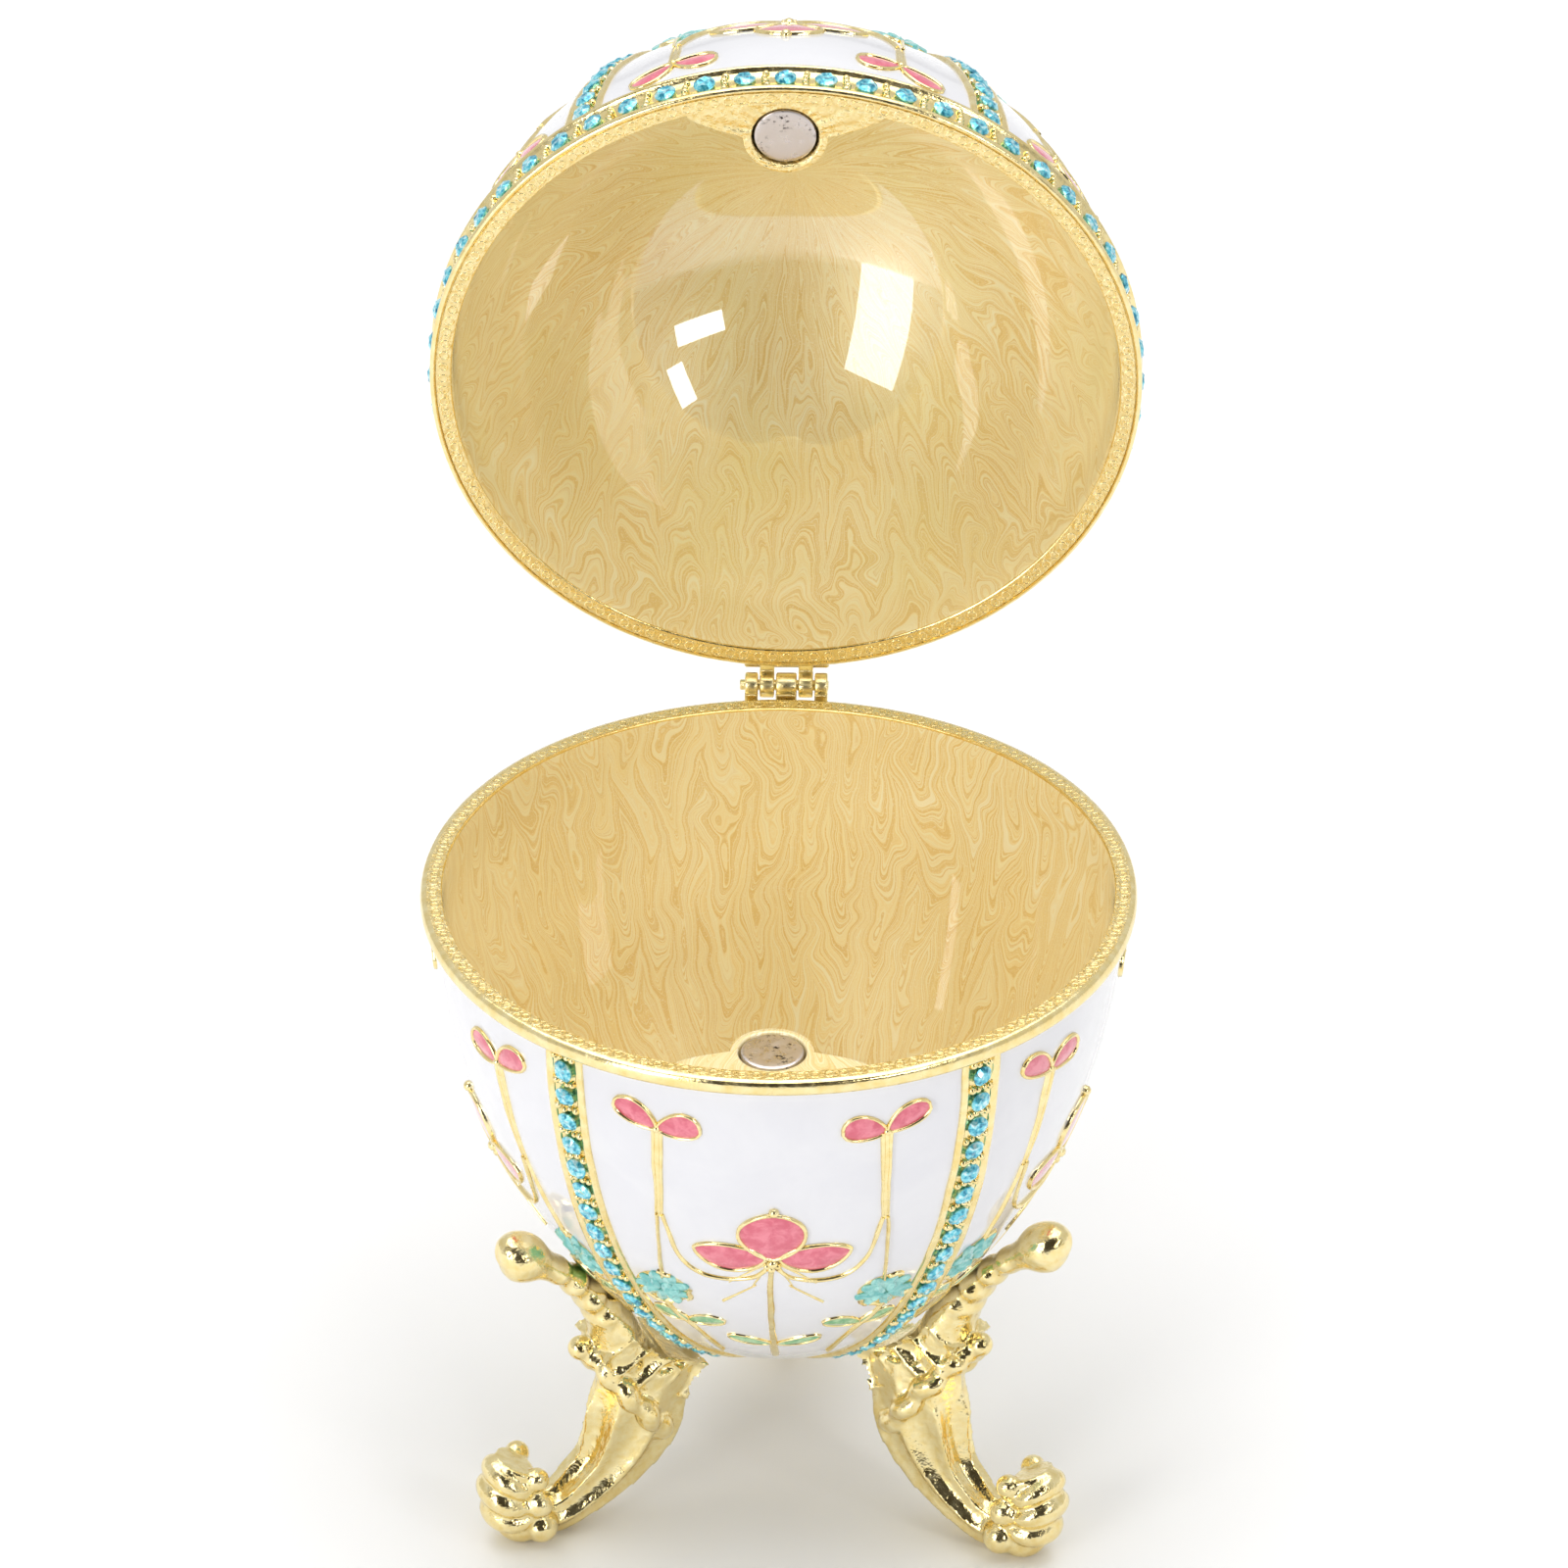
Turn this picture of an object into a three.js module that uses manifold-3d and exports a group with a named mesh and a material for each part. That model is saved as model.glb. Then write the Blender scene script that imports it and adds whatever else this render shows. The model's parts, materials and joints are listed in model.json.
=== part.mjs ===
// Jewelled egg trinket box: an enamelled cup on three cast scroll legs, and a domed lid on a pin hinge.
// Units are millimetres. +Z is up, the front faces -Y, and the feet stand on z = 0.
// The lid is modelled open, resting on its hinge's stop.

import * as THREE from 'three';
import Module from 'manifold-3d';
import { mergeVertices } from 'three/addons/utils/BufferGeometryUtils.js';

const wasm = await Module();
wasm.setup();

// Driving dimensions: the egg
const RIM_RADIUS = 34.5; // outermost radius where the two halves meet
const RIM_HEIGHT = 67.6; // height of the parting plane above the feet
const RIM_FACE_WIDTH = 2.1;
const PARTING_GAP = 0.15; // each rim face stands back this far from the parting plane
const WALL = 1.7;
const CUP = {
  radius: 33.5, length: 51.7, power: 1.89, roundness: 0.57, rows: 8, firstCrystal: 3.7,
  rim: [[33.9, 1.85], [34.5, 1.4], [34.5, 0.5], [34.2, PARTING_GAP]],
};
const LID = {
  radius: 33.5, length: 37.6, power: 2.05, roundness: 0.52, rows: 7, firstCrystal: 6.1,
  rim: [[34.5, 4.2], [34.5, 3.6], [34.1, 3.4], [34.1, 0.95], [34.5, 0.8], [34.5, PARTING_GAP]],
};
const INNER_ROWS = 4;
const OPEN_ANGLE = THREE.MathUtils.degToRad(85);

// Driving dimensions: panels, jewelled bands and relief
const PANELS = 5;
const PANEL_COLUMNS = 5;
const SECTOR = (2 * Math.PI) / PANELS;
const BAND_HALF_WIDTH = 2.15;
const BAND_STEP = 0.2; // the band's side leans in by this much
const BAND_RAISE = 0.4;
const BAND_SHARE = 0.42; // most of a sector that half a band may take near the pole
const MEDALLION_RADIUS = 6.5; // plain disc where the bands meet at each pole
const CRYSTAL_RADIUS = 1.3;
const CRYSTAL_HEIGHT = 0.8;
const CRYSTAL_SUNK = 0.4;
const CRYSTAL_SIDES = 4;
const BAND_PITCH = 3.05;
const LAST_CRYSTAL_GAP = 0.6; // from the last crystal to the medallion
const RIM_CRYSTALS = 55;
const RIM_CRYSTAL_DEPTH = 2.1;
const RELIEF_RAISE = 0.4;
const RELIEF_SUNK = 0.3;
const RELIEF_SIDES = 4;

// Driving dimensions: magnets and their bosses
const MAGNET_RADIUS = 3;
const MAGNET_THICKNESS = 1.9;
const MAGNET_OFFSET = 28.7; // from the egg's axis
const MAGNET_RECESS = 0.15;
const MAGNET_CLEARANCE = 0.3;
const BOSS_RADIUS = 4;
const BOSS_DEPTH = 5.5;
const BOSS_FLARE = 7.2;
const BOSS_ROOT = 33; // the radius where the boss ends, inside the rim's wall
const MAGNET_SIDES = 16;

// Driving dimensions: the hinge
const HINGE_SETBACK = 2; // axis behind the rim's outermost radius
const KNUCKLE_WIDTHS = [1.45, 1.6, 2.2, 1.6, 1.45];
const KNUCKLE_RADIUS = 1.25;
const BORE_RADIUS = 0.68;
const PIN_RADIUS = 0.53;
const PIN_STICKOUT = 0.43;
const GAP = 0.3;
const LEAF_THICKNESS = 0.8;
const LEAF_DROP = 2.6; // how far a leaf reaches from the hinge axis
const ROUND_SIDES = 8;

// Driving dimensions: the legs
const LEG_AZIMUTHS = { leg_left: -63.2, leg_right: 58.6, leg_back: 177.7 }; // degrees from the front
const LEG_LEAN = 4.5; // degrees that every leg leans sideways, all the same way round
const LEG_GAP = 0.3;

// Solids: closed geometry to and from the boolean library

function solid(geometry) {
  const bare = geometry.clone();
  bare.deleteAttribute('normal');
  bare.deleteAttribute('uv');
  const merged = mergeVertices(bare, 1e-4);
  const index = merged.index.array;
  const faces = [];
  for (let i = 0; i < index.length; i += 3) {
    const [a, b, c] = [index[i], index[i + 1], index[i + 2]];
    if (a !== b && b !== c && c !== a) faces.push(a, b, c);
  }
  const vertProperties = new Float32Array(merged.attributes.position.array);
  const mesh = new wasm.Mesh({ numProp: 3, vertProperties, triVerts: new Uint32Array(faces) });
  return new wasm.Manifold(mesh);
}

function geometryOf(manifold) {
  const mesh = manifold.getMesh();
  const geometry = new THREE.BufferGeometry();
  geometry.setAttribute('position', new THREE.BufferAttribute(new Float32Array(mesh.vertProperties), 3));
  geometry.setIndex(new THREE.BufferAttribute(new Uint32Array(mesh.triVerts), 1));
  geometry.computeVertexNormals();
  return geometry;
}

function joined(parts) {
  return wasm.Manifold.union(parts);
}

// Moves every vertex of a geometry through one function
function reshape(geometry, move) {
  const position = geometry.attributes.position;
  const point = new THREE.Vector3();
  for (let i = 0; i < position.count; i += 1) {
    point.fromBufferAttribute(position, i);
    move(point, i);
    position.setXYZ(i, point.x, point.y, point.z);
  }
  return geometry;
}

// The egg's wall. Each half is drawn in its own frame: depth grows along +Z from the parting plane,
// the front is -Y, and angle 0 is the front.

function wallRadius(half, depth) {
  const part = Math.min(depth / half.length, 1);
  return half.radius * (1 - part ** half.power) ** half.roundness;
}

function wallSlope(half, depth) {
  const step = 0.05;
  const low = Math.max(depth - step, 0);
  const high = Math.min(depth + step, half.length);
  return (wallRadius(half, high) - wallRadius(half, low)) / (high - low);
}

// Point, outward normal and directions on the wall at an angle from the front and a depth
function wallFrame(half, angle, depth) {
  const slope = wallSlope(half, depth);
  const radius = wallRadius(half, depth);
  const outward = new THREE.Vector3(Math.sin(angle), -Math.cos(angle), 0);
  const poleward = outward.clone().multiplyScalar(slope).add(new THREE.Vector3(0, 0, 1)).normalize();
  const around = new THREE.Vector3(Math.cos(angle), Math.sin(angle), 0);
  const normal = new THREE.Vector3().crossVectors(around, poleward);
  const point = outward.clone().multiplyScalar(radius).setZ(depth);
  return { point, normal, poleward, around };
}

// Depths a fixed distance apart, measured along the wall
function depthsAlongWall(half, start, pitch, lastRadius) {
  const depths = [];
  const step = 0.02;
  let travelled = pitch;
  for (let depth = start; wallRadius(half, depth) > lastRadius; depth += step) {
    if (travelled >= pitch) {
      depths.push(depth);
      travelled = 0;
    }
    travelled += step * Math.hypot(1, wallSlope(half, depth));
  }
  return depths;
}

// Column angles for one ring of the wall: four for each band's edges and steps, the rest across each panel
function columnAngle(column, radius, halfWidth) {
  const columns = PANEL_COLUMNS + 4;
  const sector = Math.floor(column / columns);
  const place = column % columns;
  const reach = (width) => Math.min(Math.asin(Math.min(width / Math.max(radius, 0.01), 1)), BAND_SHARE * SECTOR);
  const edge = reach(halfWidth);
  const step = reach(halfWidth - BAND_STEP);
  const centre = (sector + 0.5) * SECTOR;
  if (place < 4) return centre + [-edge, -step, step, edge][place];
  return centre + edge + ((SECTOR - 2 * edge) * (place - 3)) / (PANEL_COLUMNS + 1);
}

// Outer surface rows from the pole to the rim, as [radius, depth, raise on bands, raise everywhere]
function outerRows(half, bandRaise, grow) {
  const rows = [];
  const start = Math.asin(half.rim[0][1] / half.length);
  for (let row = 0; row < half.rows; row += 1) {
    const depth = half.length * Math.sin(Math.PI / 2 - ((Math.PI / 2 - start) * row) / half.rows);
    const radius = wallRadius(half, depth);
    const onMedallion = radius < MEDALLION_RADIUS;
    rows.push({ radius, depth, slope: wallSlope(half, depth), band: bandRaise, panel: onMedallion ? bandRaise : grow });
  }
  return rows;
}

function latheShell(half, rows, halfWidth) {
  const columns = PANELS * (PANEL_COLUMNS + 4);
  const points = rows.map((row) => new THREE.Vector2(row.radius, row.depth));
  const lathe = new THREE.LatheGeometry(points, columns);
  return reshape(lathe, (point, index) => {
    const row = rows[index % rows.length];
    const column = Math.floor(index / rows.length) % columns;
    const place = column % (PANEL_COLUMNS + 4);
    const raise = place === 1 || place === 2 ? row.band : row.panel;
    const slant = Math.hypot(1, row.slope);
    const radius = row.radius > 0.01 ? row.radius + raise / slant : 0;
    const angle = columnAngle(column, row.radius, halfWidth);
    const depth = row.depth - (raise * row.slope) / slant;
    point.set(radius * Math.sin(angle), -radius * Math.cos(angle), row.radius > 0.01 ? depth : row.depth + row.band);
  });
}

function plainRow([radius, depth]) {
  return { radius, depth, slope: 0, band: 0, panel: 0 };
}

function wallShell(half) {
  const inner = { ...half, radius: RIM_RADIUS - RIM_FACE_WIDTH, length: half.length - WALL };
  const rows = outerRows(half, BAND_RAISE, 0);
  rows.push(...half.rim.map(plainRow));
  rows.push(plainRow([inner.radius, PARTING_GAP]));
  for (let row = 1; row <= INNER_ROWS; row += 1) {
    const depth = inner.length * Math.sin((Math.PI / 2) * (row / INNER_ROWS));
    rows.push(plainRow([wallRadius(inner, depth), depth]));
  }
  return solid(latheShell(half, rows.reverse(), BAND_HALF_WIDTH));
}

// Space that nothing may enter: the cup's outside with its bands and crystals, grown by a gap
function clearanceEgg(half, gap) {
  const rows = outerRows(half, BAND_RAISE + CRYSTAL_HEIGHT + gap, gap);
  const rimHeight = half.rim[0][1];
  rows.push(plainRow([RIM_RADIUS + gap, rimHeight]), plainRow([RIM_RADIUS + gap, 0]), plainRow([0, 0]));
  return solid(latheShell(half, rows.reverse(), BAND_HALF_WIDTH + gap));
}

// Crystals and relief set on the wall

function setOnWall(geometry, half, angle, depth, lift, turn) {
  const { point, normal, poleward, around } = wallFrame(half, angle, depth);
  const basis = new THREE.Matrix4().makeBasis(around.clone().negate(), normal, poleward);
  const place = new THREE.Matrix4().makeTranslation(point.addScaledVector(normal, lift));
  return solid(geometry.clone().rotateY(turn).applyMatrix4(basis).applyMatrix4(place));
}

function bandCrystals(half) {
  const height = CRYSTAL_HEIGHT + CRYSTAL_SUNK;
  const gem = new THREE.ConeGeometry(CRYSTAL_RADIUS, height, CRYSTAL_SIDES);
  const lift = BAND_RAISE + height / 2 - CRYSTAL_SUNK;
  const lastRadius = MEDALLION_RADIUS + CRYSTAL_RADIUS + LAST_CRYSTAL_GAP;
  const gems = [];
  for (let panel = 0; panel < PANELS; panel += 1) {
    for (const depth of depthsAlongWall(half, half.firstCrystal, BAND_PITCH, lastRadius)) {
      gems.push(setOnWall(gem, half, (panel + 0.5) * SECTOR, depth, lift, 0));
    }
  }
  return gems;
}

// The lid's rim crystals, left out where the hinge leaf lies
function rimCrystals(half, hingeHalfWidth) {
  const height = CRYSTAL_HEIGHT + CRYSTAL_SUNK;
  const gem = new THREE.ConeGeometry(CRYSTAL_RADIUS, height, CRYSTAL_SIDES);
  const radius = half.rim[2][0] - CRYSTAL_SUNK + height / 2;
  const gems = [];
  for (let index = 0; index < RIM_CRYSTALS; index += 1) {
    const angle = (2 * Math.PI * index) / RIM_CRYSTALS;
    const x = radius * Math.sin(angle);
    const y = -radius * Math.cos(angle);
    if (y > 0 && Math.abs(x) < hingeHalfWidth + CRYSTAL_RADIUS + GAP) continue;
    const placed = gem.clone().rotateX(Math.PI).rotateZ(angle).translate(x, y, RIM_CRYSTAL_DEPTH);
    gems.push(solid(placed));
  }
  return gems;
}

// One panel's leaves and petals: [angle in degrees, depth, length, width, turn in degrees]
const SPRIG_ANGLE = 19.5;
const RELIEF = [
  ...[-1, 1].flatMap((side) => [
    [side * (SPRIG_ANGLE - 4.4), 6.9, 4.6, 2.4, 94 * side],
    [side * (SPRIG_ANGLE + 4.4), 6.3, 5.0, 2.4, 68 * side],
    [side * 7.6, 23.2, 6.0, 3.0, 94 * side],
  ]),
  [0, 19.6, 6.4, 5.4, 0],
];

function reliefOn(half) {
  const shapes = [];
  const height = RELIEF_RAISE + RELIEF_SUNK;
  for (let panel = 0; panel < PANELS; panel += 1) {
    for (const [degrees, depth, length, width, turn] of RELIEF) {
      const leaf = new THREE.ConeGeometry(1, height, RELIEF_SIDES).scale(width / 2, 1, length / 2);
      const angle = panel * SECTOR + THREE.MathUtils.degToRad(degrees);
      const lift = height / 2 - RELIEF_SUNK;
      shapes.push(setOnWall(leaf, half, angle, depth, lift, THREE.MathUtils.degToRad(turn)));
    }
  }
  return shapes;
}

// The boss that carries each magnet, flaring into the wall, and the magnet's pocket

function bossShape() {
  const shape = new THREE.Shape();
  const wall = Math.sqrt(BOSS_ROOT ** 2 - BOSS_FLARE ** 2);
  shape.moveTo(-BOSS_FLARE, -wall);
  shape.quadraticCurveTo(0, wall - 2 * BOSS_ROOT, BOSS_FLARE, -wall);
  shape.quadraticCurveTo(BOSS_RADIUS + 0.4, -wall + 1, BOSS_RADIUS, -MAGNET_OFFSET);
  shape.absarc(0, -MAGNET_OFFSET, BOSS_RADIUS, 0, Math.PI, false);
  shape.quadraticCurveTo(-BOSS_RADIUS - 0.4, -wall + 1, -BOSS_FLARE, -wall);
  return shape;
}

function boss() {
  const options = { depth: BOSS_DEPTH - PARTING_GAP, bevelEnabled: false, curveSegments: 4 };
  return solid(new THREE.ExtrudeGeometry(bossShape(), options).translate(0, 0, PARTING_GAP));
}

function disc(radius, from, to, sides) {
  const geometry = new THREE.CylinderGeometry(radius, radius, to - from, sides);
  return geometry.rotateX(Math.PI / 2).translate(0, -MAGNET_OFFSET, (from + to) / 2);
}

function magnetPocket() {
  const depth = PARTING_GAP + MAGNET_RECESS + MAGNET_THICKNESS + MAGNET_CLEARANCE;
  return solid(disc(MAGNET_RADIUS + MAGNET_CLEARANCE, -1, depth, MAGNET_SIDES));
}

function magnet() {
  const face = PARTING_GAP + MAGNET_RECESS;
  return disc(MAGNET_RADIUS, face, face + MAGNET_THICKNESS, MAGNET_SIDES);
}

function eggHalf(half, details) {
  return joined([wallShell(half), boss(), ...details]).subtract(magnetPocket());
}

// The hinge, drawn around its axis: x along the pin, y to the back, z up, with the lid closed

const HINGE_WIDTH = KNUCKLE_WIDTHS.reduce((sum, width) => sum + width, 0);

function barrel(radius, from, to, sides) {
  const geometry = new THREE.CylinderGeometry(radius, radius, to - from, sides);
  return solid(geometry.rotateZ(Math.PI / 2).translate((from + to) / 2, 0, 0));
}

function block(low, high) {
  const size = high.map((value, axis) => value - low[axis]);
  const centre = high.map((value, axis) => (value + low[axis]) / 2);
  return solid(new THREE.BoxGeometry(...size).translate(...centre));
}

// A leaf takes every other knuckle, starting from the first or the second; side is -1 down or +1 up
function hingeLeaf(first, side) {
  const front = GAP - HINGE_SETBACK;
  const back = front + LEAF_THICKNESS;
  const sorted = (a, b) => [Math.min(a, b), Math.max(a, b)];
  const [plateLow, plateHigh] = sorted(side * (KNUCKLE_RADIUS + GAP), side * LEAF_DROP);
  const parts = [block([-HINGE_WIDTH / 2, front, plateLow], [HINGE_WIDTH / 2, back, plateHigh])];
  let edge = -HINGE_WIDTH / 2;
  KNUCKLE_WIDTHS.forEach((width, index) => {
    const from = edge + (index === 0 ? 0 : GAP / 2);
    const to = edge + width - (index === KNUCKLE_WIDTHS.length - 1 ? 0 : GAP / 2);
    edge += width;
    if (index % 2 !== first) return;
    const [webLow, webHigh] = sorted(0, side * LEAF_DROP);
    parts.push(barrel(KNUCKLE_RADIUS, from, to, ROUND_SIDES));
    parts.push(block([from, front, webLow], [to, back, webHigh]));
  });
  const bore = barrel(BORE_RADIUS, -HINGE_WIDTH, HINGE_WIDTH, ROUND_SIDES);
  return joined(parts).subtract(bore);
}

function hingePin() {
  return barrel(PIN_RADIUS, -HINGE_WIDTH / 2 - PIN_STICKOUT, HINGE_WIDTH / 2, ROUND_SIDES);
}

// The legs, drawn in their own plane: x outward from the egg's axis, y across the leg, z up.
// A swept limb takes [x, z, half thickness in the plane, half width across it, flute depth] at each station.

const ARM = [
  [31.1, 35.3, 1.0, 1.0, 0],
  [29.6, 35.0, 2.4, 2.5, 0],
  [28.1, 34.2, 2.4, 2.4, 0],
  [26.2, 32.9, 1.4, 1.8, 0],
  [24.4, 31.4, 1.4, 1.9, 0],
  [22.6, 29.4, 1.5, 2.2, 0],
  [20.9, 27.2, 1.7, 2.6, 0],
  [19.4, 24.6, 2.2, 3.2, 0],
  [18.4, 21.8, 2.6, 3.5, 0],
  [17.8, 18.8, 2.6, 3.2, 0],
];
const SHANK = [
  [15.0, 18.6, 5.2, 3.8, 0],
  [15.4, 15.4, 4.8, 3.8, 0],
  [16.0, 12.0, 4.9, 3.6, 0.08],
  [17.2, 8.9, 4.3, 3.2, 0.12],
  [19.0, 6.2, 3.4, 2.8, 0.12],
  [21.2, 4.3, 2.8, 2.6, 0.12],
  [23.6, 2.7, 2.4, 2.5, 0.1],
  [26.0, 2.1, 2.4, 2.6, 0.02],
  [28.4, 2.6, 2.8, 3.0, 0],
  [29.8, 5.0, 2.9, 3.3, 0],
  [29.6, 7.8, 3.0, 3.3, 0],
  [28.9, 9.4, 2.1, 2.6, 0],
];
const SHANK_RIBS = { from: 0.73, count: 4, depth: 0.12 };
const SHANK_SIDES = 8;
const ARM_SIDES = 6;

// Bends a closed cylinder along the stations; ribs swell the section again and again past one point
function limb(stations, sides, segments, ribs) {
  const spine = new THREE.CatmullRomCurve3(stations.map(([x, z]) => new THREE.Vector3(x, 0, z)));
  const sizes = new THREE.CatmullRomCurve3(stations.map(([, , a, b, c]) => new THREE.Vector3(a, b, c)));
  const across = new THREE.Vector3(0, 1, 0);
  return reshape(new THREE.CylinderGeometry(1, 1, 1, sides, segments), (point) => {
    const along = 0.5 - point.y;
    const size = sizes.getPoint(along);
    const tangent = spine.getTangent(along);
    const normal = new THREE.Vector3().crossVectors(across, tangent);
    const turn = Math.atan2(point.x, point.z);
    const phase = ribs && along > ribs.from ? (along - ribs.from) / (1 - ribs.from) : 0;
    const swell = ribs ? 1 - ribs.depth * Math.sin(Math.PI * ribs.count * phase) ** 2 : 1;
    const flute = 1 + size.z * Math.cos((sides / 2) * turn);
    const inPlane = point.x * size.x * flute * swell;
    const wide = point.z * size.y * flute * swell;
    point.copy(spine.getPoint(along)).addScaledVector(normal, inPlane).addScaledVector(across, wide);
  });
}

// The rope-like ring around the top of the shank, tilted up to its outer end
const COLLAR = { x: 17.1, z: 14.9, halfLength: 6.2, halfWidth: 3.8, rope: 1.2, tilt: 54, waves: 5 };
const ROPE_SWELL = 0.22;

function collar() {
  const tube = 0.2;
  const ring = new THREE.TorusGeometry(1, tube, 4, 2 * COLLAR.waves);
  reshape(ring, (point) => {
    const turn = Math.atan2(point.y, point.x);
    const swell = 1 + ROPE_SWELL * Math.cos(COLLAR.waves * turn);
    const scale = (COLLAR.rope / tube) * swell;
    const reach = (Math.hypot(point.x, point.y) - 1) * scale;
    const x = Math.cos(turn) * (COLLAR.halfLength + reach);
    const y = Math.sin(turn) * (COLLAR.halfWidth + reach);
    point.set(x, y, point.z * scale);
  });
  ring.rotateY(THREE.MathUtils.degToRad(-COLLAR.tilt)).translate(COLLAR.x, 0, COLLAR.z);
  return solid(ring);
}

// Knobs as [x, y, z, radius]: one outside the collar, two at the curl of the foot
const KNOBS = [[21.6, 0, 20.8, 1.7], [27, 2.3, 2.4, 1.7], [27, -2.3, 2.4, 1.7]];
const SPUR = { x: 13.0, z: 10.8, radius: 1.5, length: 3.8, lean: 130 };
const HEEL = { low: [10.8, -3.4, 16.4], high: [15, 3.4, 21] }; // square end under the egg
const FLOOR_REACH = 60;

function knob([x, y, z, radius]) {
  return solid(new THREE.SphereGeometry(radius, 6, 4).translate(x, y, z));
}

function spur() {
  const cone = new THREE.ConeGeometry(SPUR.radius, SPUR.length, 4);
  return solid(cone.rotateZ(THREE.MathUtils.degToRad(SPUR.lean)).translate(SPUR.x, 0, SPUR.z));
}

function leg(clearance) {
  const cast = joined([
    solid(limb(ARM, ARM_SIDES, 7, null)),
    solid(limb(SHANK, SHANK_SIDES, 16, SHANK_RIBS)),
    collar(),
    spur(),
    block(HEEL.low, HEEL.high),
    ...KNOBS.map(knob),
  ]);
  const floor = block([0, -FLOOR_REACH, -FLOOR_REACH], [FLOOR_REACH, FLOOR_REACH, 0]);
  return cast.rotate([-LEG_LEAN, 0, 0]).subtract(floor).subtract(clearance);
}

// Materials and assembly

const GOLD = { color: 0xe1c878, roughness: 0.25, metalness: 1 };
const MATERIALS = {
  cup: { color: 0xf2f1f4, roughness: 0.15, metalness: 0 },
  lid: { color: 0xf2f1f4, roughness: 0.15, metalness: 0 },
  leg: GOLD,
  magnet: { color: 0xc8bebe, roughness: 0.3, metalness: 1 },
  hinge: { color: 0xb4a078, roughness: 0.35, metalness: 1 },
};

function piece(name, geometry, material) {
  const mesh = new THREE.Mesh(geometry, new THREE.MeshStandardMaterial(MATERIALS[material]));
  mesh.name = name;
  return mesh;
}

// A half's own frame turned over, so that depth grows downwards
const turnedOver = new THREE.Group();
turnedOver.rotation.y = Math.PI;
turnedOver.position.z = RIM_HEIGHT;
const cupDetails = [...bandCrystals(CUP), ...reliefOn(CUP)];
turnedOver.add(piece('cup', geometryOf(eggHalf(CUP, cupDetails)), 'cup'));
turnedOver.add(piece('cup_magnet', magnet(), 'magnet'));

const hingeFixed = new THREE.Group();
hingeFixed.position.set(0, RIM_RADIUS + HINGE_SETBACK, RIM_HEIGHT);
hingeFixed.add(piece('hinge_cup_leaf', geometryOf(hingeLeaf(0, -1)), 'hinge'));
hingeFixed.add(piece('hinge_pin', geometryOf(hingePin()), 'hinge'));

// Everything that turns with the lid hangs from one group on the hinge axis
const lidSwing = new THREE.Group();
lidSwing.position.copy(hingeFixed.position);
lidSwing.rotation.x = -OPEN_ANGLE;
const lidFrame = new THREE.Group();
lidFrame.position.set(0, -RIM_RADIUS - HINGE_SETBACK, 0);
const lidDetails = [...bandCrystals(LID), ...rimCrystals(LID, HINGE_WIDTH / 2), ...reliefOn(LID)];
lidFrame.add(piece('lid', geometryOf(eggHalf(LID, lidDetails)), 'lid'));
lidFrame.add(piece('lid_magnet', magnet(), 'magnet'));
lidSwing.add(piece('hinge_lid_leaf', geometryOf(hingeLeaf(1, 1)), 'hinge'), lidFrame);

const legs = new THREE.Group();
const egg = clearanceEgg(CUP, LEG_GAP).rotate([0, 180, 0]).translate([0, 0, RIM_HEIGHT]);
for (const [name, azimuth] of Object.entries(LEG_AZIMUTHS)) {
  const turn = azimuth - 90; // x outward turned to the azimuth, measured from the front at -Y
  const mesh = piece(name, geometryOf(leg(egg.rotate([0, 0, -turn]))), 'leg');
  mesh.rotation.z = THREE.MathUtils.degToRad(turn);
  legs.add(mesh);
}

const box = new THREE.Group();
box.add(turnedOver, hingeFixed, lidSwing, legs);

// The origin goes under the middle of the whole box's footprint
box.updateMatrixWorld(true);
const middle = new THREE.Box3().setFromObject(box, true).getCenter(new THREE.Vector3());
box.position.set(-middle.x, -middle.y, 0);

export default box;
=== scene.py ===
"""Looks of a jewelled egg trinket box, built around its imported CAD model.

Lengths are in millimetres until a piece is made, when they become metres. Each half of the egg is
drawn in its own frame, as in the CAD model: depth grows along +Z from the parting plane, the front
is -Y, and an angle of 0 is the front. A point on the outside is given by its angle and its depth,
and ornament is drawn on the unrolled wall, as x around and s down the meridian.
"""

import json
import math

import bmesh
import bpy
import numpy as np
from mathutils import Matrix, Vector


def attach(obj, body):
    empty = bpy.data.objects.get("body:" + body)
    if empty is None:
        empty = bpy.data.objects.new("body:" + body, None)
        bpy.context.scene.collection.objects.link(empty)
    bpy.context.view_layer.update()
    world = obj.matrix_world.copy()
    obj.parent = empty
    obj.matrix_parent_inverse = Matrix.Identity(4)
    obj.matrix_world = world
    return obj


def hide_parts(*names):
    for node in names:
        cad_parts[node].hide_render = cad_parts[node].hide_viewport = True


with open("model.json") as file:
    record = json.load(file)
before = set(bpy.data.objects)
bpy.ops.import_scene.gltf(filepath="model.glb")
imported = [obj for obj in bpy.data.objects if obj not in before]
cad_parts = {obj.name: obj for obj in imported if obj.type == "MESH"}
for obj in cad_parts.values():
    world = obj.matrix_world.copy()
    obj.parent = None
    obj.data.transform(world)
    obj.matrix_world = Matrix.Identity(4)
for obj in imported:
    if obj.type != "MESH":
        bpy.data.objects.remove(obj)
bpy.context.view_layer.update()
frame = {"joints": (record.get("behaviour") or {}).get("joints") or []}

MM = 0.001
RNG = np.random.default_rng(7)

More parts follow.
